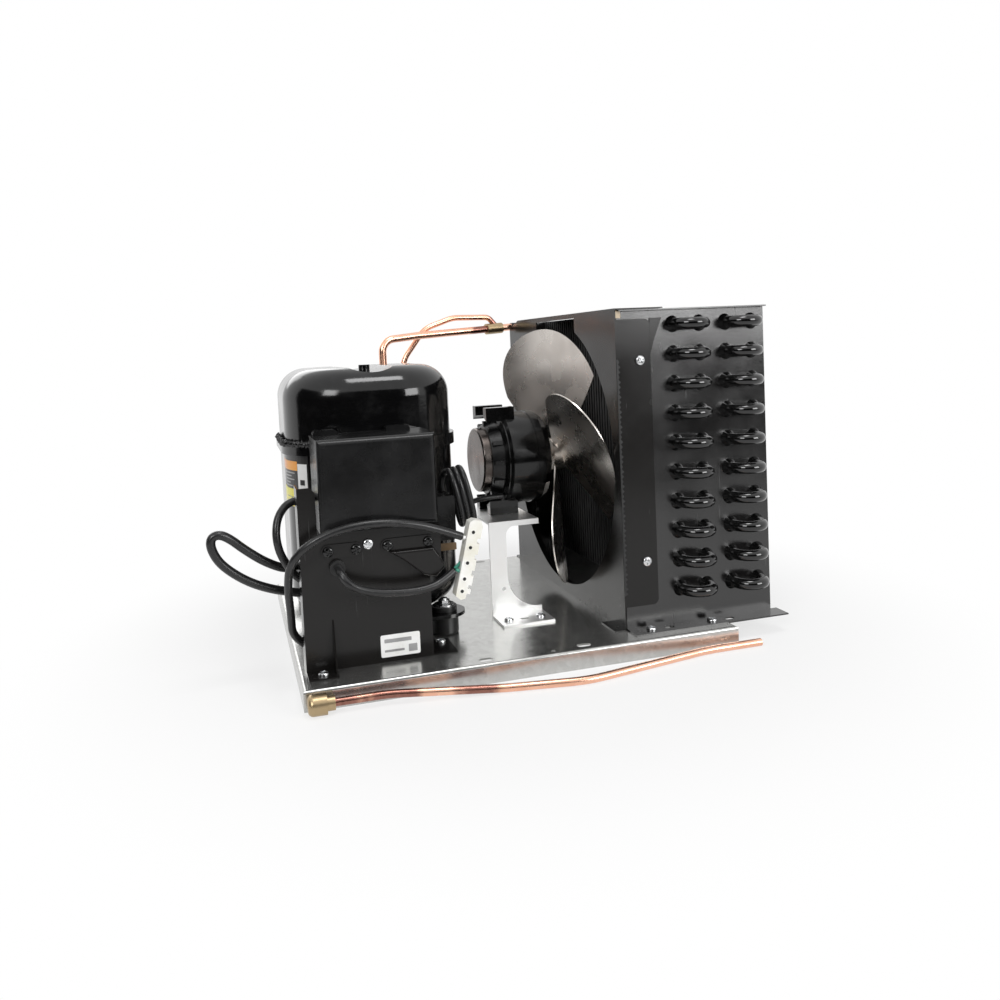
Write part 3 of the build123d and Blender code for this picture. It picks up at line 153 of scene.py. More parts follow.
def add_room():
    """White room that lights the object softly."""
    world = bpy.data.worlds.new("room")
    bpy.context.scene.world = world
    world.use_nodes = True
    tree = world.node_tree
    tree.nodes.clear()
    output = tree.nodes.new("ShaderNodeOutputWorld")
    seen = tree.nodes.new("ShaderNodeBackground")
    seen.inputs["Color"].default_value = WHITE
    lit = tree.nodes.new("ShaderNodeBackground")
    lit.inputs["Color"].default_value = WHITE
    lit.inputs["Strength"].default_value = ROOM_LIGHT
    mix = tree.nodes.new("ShaderNodeMixShader")
    tree.links.new(light_path_white(tree), mix.inputs[0])
    tree.links.new(lit.outputs[0], mix.inputs[1])
    tree.links.new(seen.outputs[0], mix.inputs[2])
    tree.links.new(mix.outputs[0], output.inputs["Surface"])


def stage_piece(name, vertices, faces):
    mesh = bpy.data.meshes.new(name)
    mesh.from_pydata(vertices, [], faces)
    piece = bpy.data.objects.new(name, mesh)
    bpy.context.scene.collection.objects.link(piece)
    return piece


def add_floor():
    """Round pale floor that keeps the shadow near the object and fades to the room's white."""
    turns = [math.tau * k / FLOOR_SIDES for k in range(FLOOR_SIDES)]
    rim = [(FLOOR_RADIUS * math.cos(turn), FLOOR_RADIUS * math.sin(turn), 0) for turn in turns]
    floor = stage_piece("floor", rim, [tuple(range(FLOOR_SIDES))])
    paint = bpy.data.materials.new("floor")
    paint.use_nodes = True
    tree = paint.node_tree
    shader = tree.nodes["Principled BSDF"]
    shader.inputs["Base Color"].default_value = (*FLOOR_COLOUR, 1)
    shader.inputs["Roughness"].default_value = FLOOR_ROUGHNESS
    white = tree.nodes.new("ShaderNodeEmission")
    coordinates = tree.nodes.new("ShaderNodeTexCoord")
    length = tree.nodes.new("ShaderNodeVectorMath")
    length.operation = "LENGTH"
    tree.links.new(coordinates.outputs["Object"], length.inputs[0])
    fade = tree.nodes.new("ShaderNodeMapRange")
    fade.interpolation_type = "SMOOTHSTEP"
    fade.inputs["From Min"].default_value = FADE_START
    fade.inputs["From Max"].default_value = FADE_END
    fade.inputs["To Min"].default_value = LEAST_WHITE
    tree.links.new(length.outputs["Value"], fade.inputs["Value"])
    shown = tree.nodes.new("ShaderNodeMath")
    shown.operation = "MULTIPLY"
    tree.links.new(fade.outputs["Result"], shown.inputs[0])
    tree.links.new(light_path_white(tree), shown.inputs[1])
    mix = tree.nodes.new("ShaderNodeMixShader")
    tree.links.new(shown.outputs[0], mix.inputs[0])
    tree.links.new(shader.outputs[0], mix.inputs[1])
    tree.links.new(white.outputs[0], mix.inputs[2])
    tree.links.new(mix.outputs[0], tree.nodes["Material Output"].inputs["Surface"])
    floor.data.materials.append(paint)


def upright_card(start, end):
    """Corners of a card that stands on the line from start to end, two (x, y) points."""
    return [(*start, CARD_LOW_Z), (*end, CARD_LOW_Z), (*end, CARD_HIGH_Z), (*start, CARD_HIGH_Z)]


def add_dark_cards():
    """Dark studio in front of and left of the object, which gloss mirrors and the camera doesn't show."""
    front_left = (-CARD_HALF_WIDTH, CARD_FRONT_Y)
    front_right = (CARD_HALF_WIDTH, CARD_FRONT_Y)
    floor_outline = (
        front_left,
        front_right,
        (CARD_HALF_WIDTH, -FLOOR_CARD_NEAR),
        (-CARD_HALF_WIDTH, -FLOOR_CARD_NEAR),
    )
    cards = {
        "front_card": upright_card(front_left, front_right),
        "front_floor_card": [(x, y, FLOOR_CARD_Z) for x, y in floor_outline],
        "left_card": upright_card((CARD_LEFT_X, CARD_FRONT_Y), (CARD_LEFT_X, CARD_LEFT_END_Y)),
    }
    dark = bpy.data.materials.new("studio_dark")
    dark.use_nodes = True
    shader = dark.node_tree.nodes["Principled BSDF"]
    shader.inputs["Base Color"].default_value = (*CARD_DARK, 1)
    shader.inputs["Roughness"].default_value = 1.0
    shader.inputs["Specular IOR Level"].default_value = 0.0
    for name, corners in cards.items():
        card = stage_piece(name, corners, [(0, 1, 2, 3)])
        card.data.materials.append(dark)
        card.visible_camera = False
        card.visible_shadow = False


def soft_box(name, place, size, radiance):
    """Area lamp facing the object, with the given radiance over its face."""
    add_lamp(name, place, SOFT_BOX_TARGET, size, radiance * math.pi * size[0] * size[1])


add_camera()
add_room()
add_floor()
add_dark_cards()
for name, (place, size, radiance) in SOFT_BOXES.items():
    soft_box(name, place, size, radiance)
bpy.context.scene.view_settings.view_transform = "Standard"


# ---------------------------------------------------------------- materials
class Surface:
    """A material whose colour, gloss and relief come from procedural nodes in the object's own metres."""

    def __init__(self, name, metallic=0.0, sheen=0.0, ior=1.5):
        self.material = bpy.data.materials.new(name)
        self.material.use_nodes = True
        self.tree = self.material.node_tree
        self.shader = self.tree.nodes["Principled BSDF"]
        self.shader.inputs["Metallic"].default_value = metallic
        self.shader.inputs["Sheen Weight"].default_value = sheen
        self.shader.inputs["IOR"].default_value = ior
        self.place = self.tree.nodes.new("ShaderNodeTexCoord").outputs["Object"]

    def link(self, source, target):
        self.tree.links.new(source, target)

    def stretched(self, scale=(1, 1, 1), turn=(0, 0, 0)):
        mapping = self.tree.nodes.new("ShaderNodeMapping")
        mapping.inputs["Scale"].default_value = scale
        mapping.inputs["Rotation"].default_value = turn
        self.link(self.place, mapping.inputs["Vector"])
        return mapping.outputs["Vector"]

    def noise(self, size, detail=4.0, roughness=0.55, vector=None):
        """Cloudy values from 0 to 1, with features about size metres across."""
        node = self.tree.nodes.new("ShaderNodeTexNoise")
        node.inputs["Scale"].default_value = 1.0 / size
        node.inputs["Detail"].default_value = detail
        node.inputs["Roughness"].default_value = roughness
        self.link(vector or self.place, node.inputs["Vector"])
        return node.outputs["Fac"]

    def cells(self, size):
        """Voronoi cells about size metres across."""
        node = self.tree.nodes.new("ShaderNodeTexVoronoi")
        node.inputs["Scale"].default_value = 1.0 / size
        self.link(self.place, node.inputs["Vector"])
        return node

    def spread(self, value, low, high, start=0.0, end=1.0):
        """Value from start..end mapped to low..high."""
        node = self.tree.nodes.new("ShaderNodeMapRange")
        node.inputs["From Min"].default_value = start
        node.inputs["From Max"].default_value = end
        node.inputs["To Min"].default_value = low
        node.inputs["To Max"].default_value = high
        self.link(value, node.inputs["Value"])
        return node.outputs["Result"]

    def blend(self, factor, first, second):
        """Colour between two colours, or two colour outputs."""
        node = self.tree.nodes.new("ShaderNodeMix")
        node.data_type = "RGBA"
        self.link(factor, node.inputs["Factor"])
        for socket, colour in ((node.inputs["A"], first), (node.inputs["B"], second)):
            if isinstance(colour, tuple):
                socket.default_value = (*colour, 1)
            else:
                self.link(colour, socket)
        return node.outputs["Result"]

    def combine(self, operation, first, second):
        """First and second, each a number or an output, through a math node that keeps to 0..1."""
        node = self.tree.nodes.new("ShaderNodeMath")
        node.operation = operation
        node.use_clamp = True
        for socket, value in zip(node.inputs, (first, second)):
            if isinstance(value, (int, float)):
                socket.default_value = value
            else:
                self.link(value, socket)
        return node.outputs["Value"]

    def axis(self, name):
        node = self.tree.nodes.new("ShaderNodeSeparateXYZ")
        self.link(self.place, node.inputs["Vector"])
        return node.outputs[name]

    def offset(self, axis, middle):
        """Distance along an axis from middle, with its sign."""
        node = self.tree.nodes.new("ShaderNodeMath")
        node.operation = "SUBTRACT"
        self.link(self.axis(axis), node.inputs[0])
        node.inputs[1].default_value = middle
        return node.outputs["Value"]

    def colour(self, source):
        self.link(source, self.shader.inputs["Base Color"])

    def rough(self, source):
        self.link(source, self.shader.inputs["Roughness"])

    def relief(self, height, depth):
        """Relief of the given depth in metres from a height value of 0 to 1."""
        node = self.tree.nodes.new("ShaderNodeBump")
        node.inputs["Strength"].default_value = 1.0
        node.inputs["Distance"].default_value = depth
        self.link(height, node.inputs["Height"])
        previous = self.shader.inputs["Normal"].links
        if previous:
            self.link(previous[0].from_socket, node.inputs["Normal"])
        self.link(node.outputs["Normal"], self.shader.inputs["Normal"])


def enamel(name, base, gloss, dust=0.12, peel=0.00003, ior=1.45):
    """Sprayed paint: orange peel, uneven gloss and a thin veil of dust."""
    s = Surface(name, ior=ior)
    cloud = s.noise(0.035)
    dusty = s.combine("MULTIPLY", s.spread(s.noise(0.012, 8), 0, 1, 0.5, 0.75), dust)
    lighter = tuple(min(1.0, 0.05 + 1.8 * c) for c in base)
    s.colour(s.blend(dusty, base, lighter))
    uneven = s.spread(cloud, gloss * 0.75, gloss * 1.4, 0.3, 0.7)
    s.rough(s.combine("ADD", uneven, s.combine("MULTIPLY", dusty, 0.3)))
    s.relief(s.noise(0.0022, 2), peel)
    return s.material


def sheet_paint(name, base, gloss, ior=1.42):
    """Thin paint on sheet metal with handling scratches and rubbed patches."""
    s = Surface(name, ior=ior)
    cloud = s.noise(0.05, 5)
    scratch = s.noise(0.004, 2, vector=s.stretched((1, 1, 0.06), (0.5, 0.2, 0.3)))
    rubbed = s.combine("MULTIPLY", s.spread(scratch, 0, 1, 0.66, 0.74), s.spread(cloud, 0, 1, 0.5, 0.65))
    uneven = s.spread(cloud, gloss * 0.75, gloss * 1.35, 0.3, 0.7)
    s.colour(s.blend(rubbed, base, tuple(c + 0.05 for c in base)))
    s.rough(s.combine("ADD", uneven, s.combine("MULTIPLY", rubbed, 0.2)))
    s.relief(s.noise(0.0016, 3), 0.00003)
    s.relief(s.noise(0.12, 2), 0.0009)
    return s.material


def galvanised():
    """Hot-dip zinc: crystal spangle, soft streaks and dull spots."""
    s = Surface("galvanised", metallic=0.9)
    grains = s.cells(0.0045)
    shade = s.tree.nodes.new("ShaderNodeRGBToBW")
    s.link(grains.outputs["Color"], shade.inputs["Color"])
    cloud = s.noise(0.06, 6)
    tone = s.blend(shade.outputs["Val"], (0.48, 0.48, 0.465), (0.56, 0.56, 0.545))
    stain = s.spread(cloud, 0, 0.3, 0.55, 0.75)
    s.colour(s.blend(stain, tone, (0.42, 0.42, 0.40)))
    grain_gloss = s.spread(shade.outputs["Val"], 0.17, 0.21)
    s.rough(s.combine("ADD", grain_gloss, s.spread(cloud, 0.0, 0.08, 0.4, 0.7)))
    s.relief(s.noise(0.0012, 2), 0.000006)
    return s.material


def bright_metal(
    name, base, gloss, grain=(1, 1, 1), stain=(0.4, 0.4, 0.4), amount=0.4, metallic=1.0, relief=0.000006
):
    """Bare or plated metal with fine directional grain and cloudy staining."""
    s = Surface(name, metallic=metallic)
    cloud = s.noise(0.03, 3)
    marked = s.spread(cloud, 0, amount, 0.45, 0.75)
    s.colour(s.blend(marked, base, stain))
    s.rough(s.spread(cloud, gloss, gloss + 0.12, 0.45, 0.75))
    if relief:
        s.relief(s.noise(0.0015, 3, vector=s.stretched(grain)), relief)
    return s.material


def moulding(name, base, gloss, grain=0.0009, depth=0.00003, ior=1.45):
    """Moulded plastic with spark-eroded grain and faint flow clouds."""
    s = Surface(name, ior=ior)
    cloud = s.noise(0.03, 4)
    s.colour(s.blend(s.spread(cloud, 0, 1, 0.35, 0.7), base, tuple(min(1.0, c * 1.5 + 0.006) for c in base)))
    s.rough(s.spread(cloud, gloss * 0.85, gloss * 1.2, 0.3, 0.7))
    s.relief(s.noise(grain, 2), depth)
    return s.material


def elastomer(name, base, gloss, sheen=0.15):
    """Rubber or cord jacket with fine extrusion grain and bloom."""
    s = Surface(name, sheen=sheen)
    bloom = s.spread(s.noise(0.01, 6), 0, 0.6, 0.5, 0.8)
    s.colour(s.blend(bloom, base, tuple(c + 0.025 for c in base)))
    s.rough(s.spread(s.noise(0.004, 3), gloss * 0.85, gloss * 1.2, 0.3, 0.7))
    s.relief(s.noise(0.0007, 2), 0.00002)
    return s.material


def copper(name, heated=()):
    """Drawn copper tube. heated lists (axis, middle, half width) of zones that brazing has darkened."""
    s = Surface(name, metallic=1.0)
    cloud = s.noise(0.018, 3)
    tone = s.blend(s.spread(cloud, 0, 1, 0.35, 0.7), (0.92, 0.55, 0.40), (0.82, 0.44, 0.30))
    burnt = s.blend(s.noise(0.004, 6), (0.16, 0.07, 0.05), (0.42, 0.20, 0.16))
    for axis, middle, half in heated:
        distance = s.combine("ABSOLUTE", s.offset(axis, middle), 0)
        ragged = s.combine("ADD", distance, s.spread(cloud, -half * 0.4, half * 0.4, 0.3, 0.7))
        tone = s.blend(s.spread(ragged, 1, 0, half * 0.5, half), tone, burnt)
    s.colour(tone)
    s.rough(s.spread(cloud, 0.2, 0.36, 0.3, 0.7))
    s.relief(s.noise(0.006, 2), 0.00004)
    return s.material


MATERIALS = {
    "galvanised": galvanised(),
    "black_paint": enamel("black_paint", (0.003, 0.003, 0.0032), 0.12, ior=1.5),
    "shroud_paint": sheet_paint("shroud_paint", (0.010, 0.0093, 0.0088), 0.21, 1.37),
    # The fins' near-black colour and darker patches are painted shade: the aluminium is coloured near black so
    # the fins sink into the dark inside the shroud.
    "fin_aluminium": bright_metal(
        "fin_aluminium", (0.010, 0.010, 0.010), 0.6, (1, 0.05, 1), (0.005, 0.005, 0.005), metallic=0.1
    ),
    "blade_aluminium": bright_metal(
        "blade_aluminium", (0.66, 0.62, 0.58), 0.25, stain=(0.54, 0.50, 0.46), amount=0.35, relief=0.0
    ),
    "zinc": bright_metal("zinc", (0.72, 0.73, 0.74), 0.2),
    "steel": bright_metal("steel", (0.48, 0.46, 0.43), 0.22, stain=(0.30, 0.26, 0.23), amount=0.6),
    "black_plastic": moulding("black_plastic", (0.005, 0.005, 0.0052), 0.24, ior=1.37),
    "motor_black": enamel("motor_black", (0.003, 0.003, 0.003), 0.12),
    "rubber": elastomer("rubber", (0.010, 0.010, 0.010), 0.4, 0.05),
    "copper": copper("copper"),
    "brass": bright_metal("brass", (0.45, 0.34, 0.2), 0.35, stain=(0.16, 0.12, 0.09), amount=0.8),
    "cord_black": elastomer("cord_black", (0.008, 0.008, 0.0085), 0.3, 0.05),
    "nylon": moulding("nylon", (0.80, 0.78, 0.66), 0.35),
    "wire": moulding("wire", (0.72, 0.73, 0.70), 0.35),
    "bronze": bright_metal("bronze", (0.45, 0.3, 0.18), 0.4),
}
for part in frame["record"]["subparts"]:
    piece = nodes[part["node"]]
    piece.data.materials.clear()
    piece.data.materials.append(MATERIALS[part["material_slot"]])


def dress(node, material):
    nodes[node].data.materials.clear()
    nodes[node].data.materials.append(material)


def heated_copper(name, *zones):
    """Copper darkened at zones, each (metres along X from the pan's corner, half width)."""
    return copper(name, [("X", CORNER.x + along, half) for along, half in zones])


dress("front_copper_tube", heated_copper("front_copper", (0.024, 0.018), (0.062, 0.030), (0.13, 0.02)))
dress("return_tube", heated_copper("thin_copper", (0.262, 0.015)))
dress("discharge_tube", heated_copper("hot_copper", (0.240, 0.014)))
dress(
    "motor_bracket",
    bright_metal("bright_zinc", (0.90, 0.90, 0.89), 0.3, (1, 1, 0.1), (0.80, 0.80, 0.79)),
)
# The end cap's steel is coloured far darker than bare steel, with darker cloudy patches on it.
dress(
    "motor_end_cap",
    bright_metal("darkened_steel", (0.10, 0.088, 0.082), 0.24, stain=(0.05, 0.038, 0.033), amount=0.8),
)
for plate in ("condenser_front_plate", "condenser_rear_plate"):
    dress(plate, sheet_paint("plate_paint", (0.006, 0.0055, 0.0055), 0.2, 1.7))
for bends in ("front_return_bends", "rear_return_bends"):
    dress(bends, enamel("wet_black", (0.003, 0.003, 0.003), 0.07, 0.0, 0.00002, 1.6))


def printed(name, base):
    """Printed label film."""
    return moulding(name, base, 0.3, 0.002, 0.000004)


INKS = {
    "white": printed("label_white", (0.86, 0.86, 0.84)),
    "black": printed("label_black", (0.012, 0.012, 0.012)),
    "orange": printed("label_orange", (0.90, 0.30, 0.05)),
    "yellow": printed("label_yellow", (0.88, 0.68, 0.09)),
    "grey": printed("label_grey", (0.28, 0.28, 0.28)),
    "green": printed("wire_green", (0.03, 0.20, 0.14)),
    "tan": printed("foam_tan", (0.45, 0.36, 0.25)),
    "brown": printed("insulation_brown", (0.13, 0.085, 0.045)),
}
dress("supply_wires", INKS["green"])


# ---------------------------------------------------------------- piece helpers
def mesh_piece(name, vertices, faces, material, slot, smooth=False):
    mesh = bpy.data.meshes.new(name)
    mesh.from_pydata([tuple(v) for v in vertices], [], faces)
    for face in mesh.polygons:
        face.use_smooth = smooth
    mesh.materials.append(material)
    piece = bpy.data.objects.new(name, mesh)
    bpy.context.scene.collection.objects.link(piece)
    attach(piece, "unit")
    return piece


def prism(outline, thickness):
    """Closed prism: the outline's points and a copy of them moved by thickness."""
    count = len(outline)
    vertices = [Vector(p) for p in outline] + [Vector(p) + Vector(thickness) for p in outline]
    faces = [tuple(range(count))[::-1], tuple(range(count, 2 * count))]
    faces += [(k, (k + 1) % count, count + (k + 1) % count, count + k) for k in range(count)]
    return vertices, faces


def front_plate(name, outline, y, thickness, material, slot):
    """Flat piece in an upright plane; outline holds (x, z) from the pan's corner, y is its front."""
    points = [from_corner(x, y, z) for x, z in outline]
    return mesh_piece(name, *prism(points, (0, thickness, 0)), material, slot)


def rounded(x0, x1, z0, z1, radius, steps=5):
    """Outline of a rectangle with round corners."""
    outline = []
    for cx, cz, start in (
        (x1 - radius, z1 - radius, 0),
        (x0 + radius, z1 - radius, 90),
        (x0 + radius, z0 + radius, 180),
        (x1 - radius, z0 + radius, 270),
    ):
        for k in range(steps + 1):
            angle = math.radians(start + 90 * k / steps)
            outline.append((cx + radius * math.cos(angle), cz + radius * math.sin(angle)))
    return outline


# ---------------------------------------------------------------- labels on the compressor and shield
SHELL_CORNER = 0.056
SEAM_LIP = 0.0035
LABEL_FILM = 0.0002
shell_low, shell_high = (Vector(p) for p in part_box("compressor_lower_shell"))
SHELL_LEFT = shell_low.x + SEAM_LIP
SHELL_FRONT = shell_low.y + SEAM_LIP
SEAM_Z = shell_high.z


def shell_point(along, z, proud):
    """Point on the shell's front left corner: along runs from the left flank round to the front."""
    turn = max(0.0, along) / SHELL_CORNER
    reach = SHELL_CORNER + proud
    return Vector(
        (
            SHELL_LEFT + SHELL_CORNER - reach * math.cos(turn),
            SHELL_FRONT + SHELL_CORNER - reach * math.sin(turn) - min(0.0, along),
            z,
        )
    )


def shell_label(name, start, end, low, high, ink, layer=1):
    """Film that follows the shell, thicker by one film for each layer under it."""
    steps = 14
    vertices = []
    for k in range(steps + 1):
        along = start + (end - start) * k / steps
        for proud in (LABEL_FILM * (layer - 1), LABEL_FILM * layer):
            vertices += [shell_point(along, low, proud), shell_point(along, high, proud)]
    faces = [(0, 1, 3, 2), tuple(4 * steps + k for k in (0, 2, 3, 1))]
    for k in range(0, 4 * steps, 4):
        for a, b in ((0, 1), (1, 3), (3, 2), (2, 0)):
            faces.append((k + a, k + 4 + a, k + 4 + b, k + b))
    return mesh_piece(name, vertices, faces, INKS[ink], "nylon")


shell_label("label_base", -0.014, 0.043, 0.133, 0.179, "black")
shell_label("label_orange", -0.013, 0.0292, 0.1655, 0.1735, "orange", 2)
shell_label("label_yellow", -0.013, 0.026, 0.134, 0.1495, "yellow", 2)
shell_label("label_white", 0.0298, 0.0415, 0.148, 0.1715, "white", 2)
shell_label("label_white_block", 0.0330, 0.0385, 0.1535, 0.1580, "black", 3)
for row, reach in enumerate((0.020, 0.016, 0.024, 0.019, 0.025)):
    rise = 0.0028 * row
    shell_label(f"label_line_{row + 1}", 0.002, reach, 0.1515 + rise, 0.1525 + rise, "grey", 2)
for row, reach in enumerate((0.017, 0.020)):
    rise = 0.004 * row
    shell_label(f"label_yellow_line_{row + 1}", 0.006, reach, 0.138 + rise, 0.1386 + rise, "grey", 3)

BEAD_RADIUS = 0.0017
BEAD_START = -0.055
BEAD_LENGTH = 0.105
BEAD_ABOVE_SEAM = 0.0045


def weld_bead():
    """Lumpy bead of the shell's seam, round the front left corner."""
    steps, sides = 150, 10
    vertices = []
    for k in range(steps + 1):
        along = BEAD_START + BEAD_LENGTH * k / steps
        lump = 1 + 0.28 * math.sin(k * 1.9) + 0.22 * math.sin(k * 0.83 + 1)
        for side in range(sides):
            angle = math.tau * side / sides
            wobble = BEAD_RADIUS * lump * (1 + 0.25 * math.sin(side * 2.4 + k * 1.31))
            proud = SEAM_LIP * 0.7 + wobble * math.cos(angle)
            height = SEAM_Z + BEAD_ABOVE_SEAM + wobble * 1.5 * math.sin(angle)
            vertices.append(shell_point(along, height, proud))
    faces = [tuple(range(sides))[::-1], tuple(steps * sides + n for n in range(sides))]
    for k in range(steps):
        for side in range(sides):
            a, b = k * sides + side, k * sides + (side + 1) % sides
            faces.append((a, b, b + sides, a + sides))
    return mesh_piece("seam_weld_bead", vertices, faces, MATERIALS["black_paint"], "black_paint", smooth=True)


weld_bead()

SHIELD_FACE_Y = 0.036
STICKER = (0.065, 0.097, 0.020, 0.038)
sticker = rounded(*STICKER, 0.0015)
front_plate("shield_sticker", sticker, SHIELD_FACE_Y - LABEL_FILM, LABEL_FILM, INKS["white"], "nylon")
for name, (left, right, low, high) in {
    "sticker_bar_top": (0.068, 0.090, 0.0315, 0.0345),
    "sticker_bar_low": (0.068, 0.084, 0.0240, 0.0258),
    "sticker_block": (0.0875, 0.0945, 0.0225, 0.0285),
}.items():
    outline = rounded(left, right, low, high, 0.0004, 2)
    front_plate(name, outline, SHIELD_FACE_Y - 2 * LABEL_FILM, LABEL_FILM, INKS["grey"], "nylon")

INSULATION = (0.119, 0.1365, 0.0955, 0.1015)
INSULATION_Y = 0.0572
INSULATION_THICKNESS = 0.0008
strip = rounded(*INSULATION, 0.0006, 2)
front_plate("relay_insulation", strip, INSULATION_Y, INSULATION_THICKNESS, INKS["brown"], "nylon")

# ---------------------------------------------------------------- terminal block
block_low, block_high = (Vector(p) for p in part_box("terminal_block"))
BLOCK_MIDDLE = (block_low + block_high) / 2 - CORNER
BLOCK_TILT = math.radians(14)
BLOCK_DEPTH = 0.0112
TERMINAL_ACROSS = -1.2
TERMINALS_ALONG = (-25.5, -15.5, -2.5, 10.0, 22.5)
COLLAR_RADIUS = 2.4
SOCKET_RADIUS = 1.4
SCREW_DISC_THICKNESS = 0.0005


def on_block(outline):
    """Outline of (across, along) millimetres on the leaning block, as (x, z) from the pan's corner."""
    cosine, sine = math.cos(BLOCK_TILT) / 1000, math.sin(BLOCK_TILT) / 1000
    return [
        (
            BLOCK_MIDDLE.x + across * cosine + along * sine,
            BLOCK_MIDDLE.z - across * sine + along * cosine,
        )
        for across, along in outline
    ]


def disc(across, along, radius, sides=20):
    turns = [math.tau * k / sides for k in range(sides)]
    return [(across + radius * math.cos(t), along + radius * math.sin(t)) for t in turns]


BLOCK_OUTLINE = [(-5.5, -30.0), (-1.0, -32.5), (2.8, -31.0), (2.8, -27.0), (5.8, -27.0), (5.8, -23.0)]
BLOCK_OUTLINE += [(3.2, -23.0), (3.2, -20.0), (5.9, -20.0), (5.9, -12.0), (3.9, -12.0), (3.9, -8.0)]
BLOCK_OUTLINE += [(5.9, -8.0), (5.9, 1.0), (3.9, 1.0), (3.9, 5.0), (5.9, 5.0), (5.9, 14.0), (3.5, 14.0)]
BLOCK_OUTLINE += [(3.5, 18.0), (5.9, 18.0), (5.9, 28.0), (4.2, 32.4), (-2.0, 32.4), (-5.5, 30.0)]
block_front = (block_low - CORNER).y + 0.0004
block_outline = on_block(BLOCK_OUTLINE)
block_body = front_plate(
    "terminal_strip", block_outline, block_front, BLOCK_DEPTH, MATERIALS["nylon"], "nylon"
)
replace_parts(block_body, "terminal_block")
# The black screw disc on each terminal is painted shade: a dark disc drawn where the dark hole of the screw
# socket is.
for number, along in enumerate(TERMINALS_ALONG, 1):
    for kind, radius, proud, material in (
        ("collar", COLLAR_RADIUS, 0.0003, MATERIALS["nylon"]),
        ("screw", SOCKET_RADIUS, 0.0004, INKS["black"]),
    ):
        outline = on_block(disc(TERMINAL_ACROSS, along, radius))
        face = block_front - proud
        front_plate(f"terminal_{kind}_{number}", outline, face, SCREW_DISC_THICKNESS, material, "nylon")

# ---------------------------------------------------------------- shroud trim
SHROUD_FACE_Y = 0.027
FLANGE_RIGHT = 0.3062
front_plate(
    "shroud_corner_flap",
    [(FLANGE_RIGHT, 0.2815), (0.3175, 0.2815), (0.3135, 0.272), (0.3095, 0.262), (FLANGE_RIGHT, 0.251)],
    SHROUD_FACE_Y + 0.0002,
    0.0007,
    MATERIALS["shroud_paint"],
    "shroud_paint",
)
TOOTH_PITCH = 0.0042
TOOTH_COUNT = 48
FOAM_LEFT = 0.2742
FOAM_FOOT = 0.046
TOOTH_TIP_X = 0.2770
TOOTH_ROOT_X = 0.2752
FOAM_THICKNESS = 0.0009
teeth = [(FOAM_LEFT, FOAM_FOOT)]
for k in range(TOOTH_COUNT):
    low = FOAM_FOOT + k * TOOTH_PITCH
    tip = TOOTH_TIP_X + 0.0006 * math.sin(k * 2.1)
    teeth += [(tip, low + TOOTH_PITCH * 0.45), (TOOTH_ROOT_X, low + TOOTH_PITCH)]
teeth.append((FOAM_LEFT, teeth[-1][1]))
foam_front = SHROUD_FACE_Y - FOAM_THICKNESS
front_plate("shroud_foam_edge", teeth, foam_front, FOAM_THICKNESS, MATERIALS["rubber"], "rubber")
foam_end = rounded(0.2748, 0.2795, 0.2822, 0.2885, 0.0008)
front_plate("shroud_foam_end", foam_end, 0.0271, 0.003, INKS["tan"], "nylon")

# ---------------------------------------------------------------- cross-recessed screws
SCREW_HEAD_HEIGHT = 0.0026
SCREW_SHANK = 0.002
RECESS_HALF_WIDTH = 0.00055
RECESS_REACH = 0.6
RECESS_DEPTH = 0.0013
DOME_FALL = 0.0011
RIM_START = 0.94
RIM_TOP = 0.62
FIRST_TURN = 0.4
TURN_STEP = 0.9


def islands(mesh):
    """Loose parts of a mesh, each a list of its vertices' places."""
    joined = bmesh.new()
    joined.from_mesh(mesh)
    bmesh.ops.remove_doubles(joined, verts=joined.verts, dist=1e-6)
    left = set(joined.verts)
    found = []
    for first in joined.verts:
        if first not in left:
            continue
        left.discard(first)
        group, queue = [], [first]
        while queue:
            vertex = queue.pop()
            group.append(vertex.co.copy())
            for edge in vertex.link_edges:
                other = edge.other_vert(vertex)
                if other in left:
                    left.discard(other)
                    queue.append(other)
        found.append(group)
    joined.free()
    return found


def screw_frame(points):
    """Place of the head's top, outward direction, head radius and length of a screw."""
    low = Vector([min(p[i] for p in points) for i in range(3)])
    high = Vector([max(p[i] for p in points) for i in range(3)])
    size = high - low
    axis = max(range(3), key=lambda i: size[i])
    middle = (low + high) / 2

    def spread_near(value):
        """Largest distance from the screw's axis of the points near value along it."""
        near = [p - middle for p in points if abs(p[axis] - value) < SCREW_HEAD_HEIGHT * 0.9]
        return max(math.hypot(*(p[i] for i in range(3) if i != axis)) for p in near)

    outward = Vector((0, 0, 0))
    outward[axis] = 1 if spread_near(high[axis]) > spread_near(low[axis]) else -1
    top = middle.copy()
    top[axis] = high[axis] if outward[axis] > 0 else low[axis]
    return top, outward, min(size[i] for i in range(3) if i != axis) / 2, size[axis]


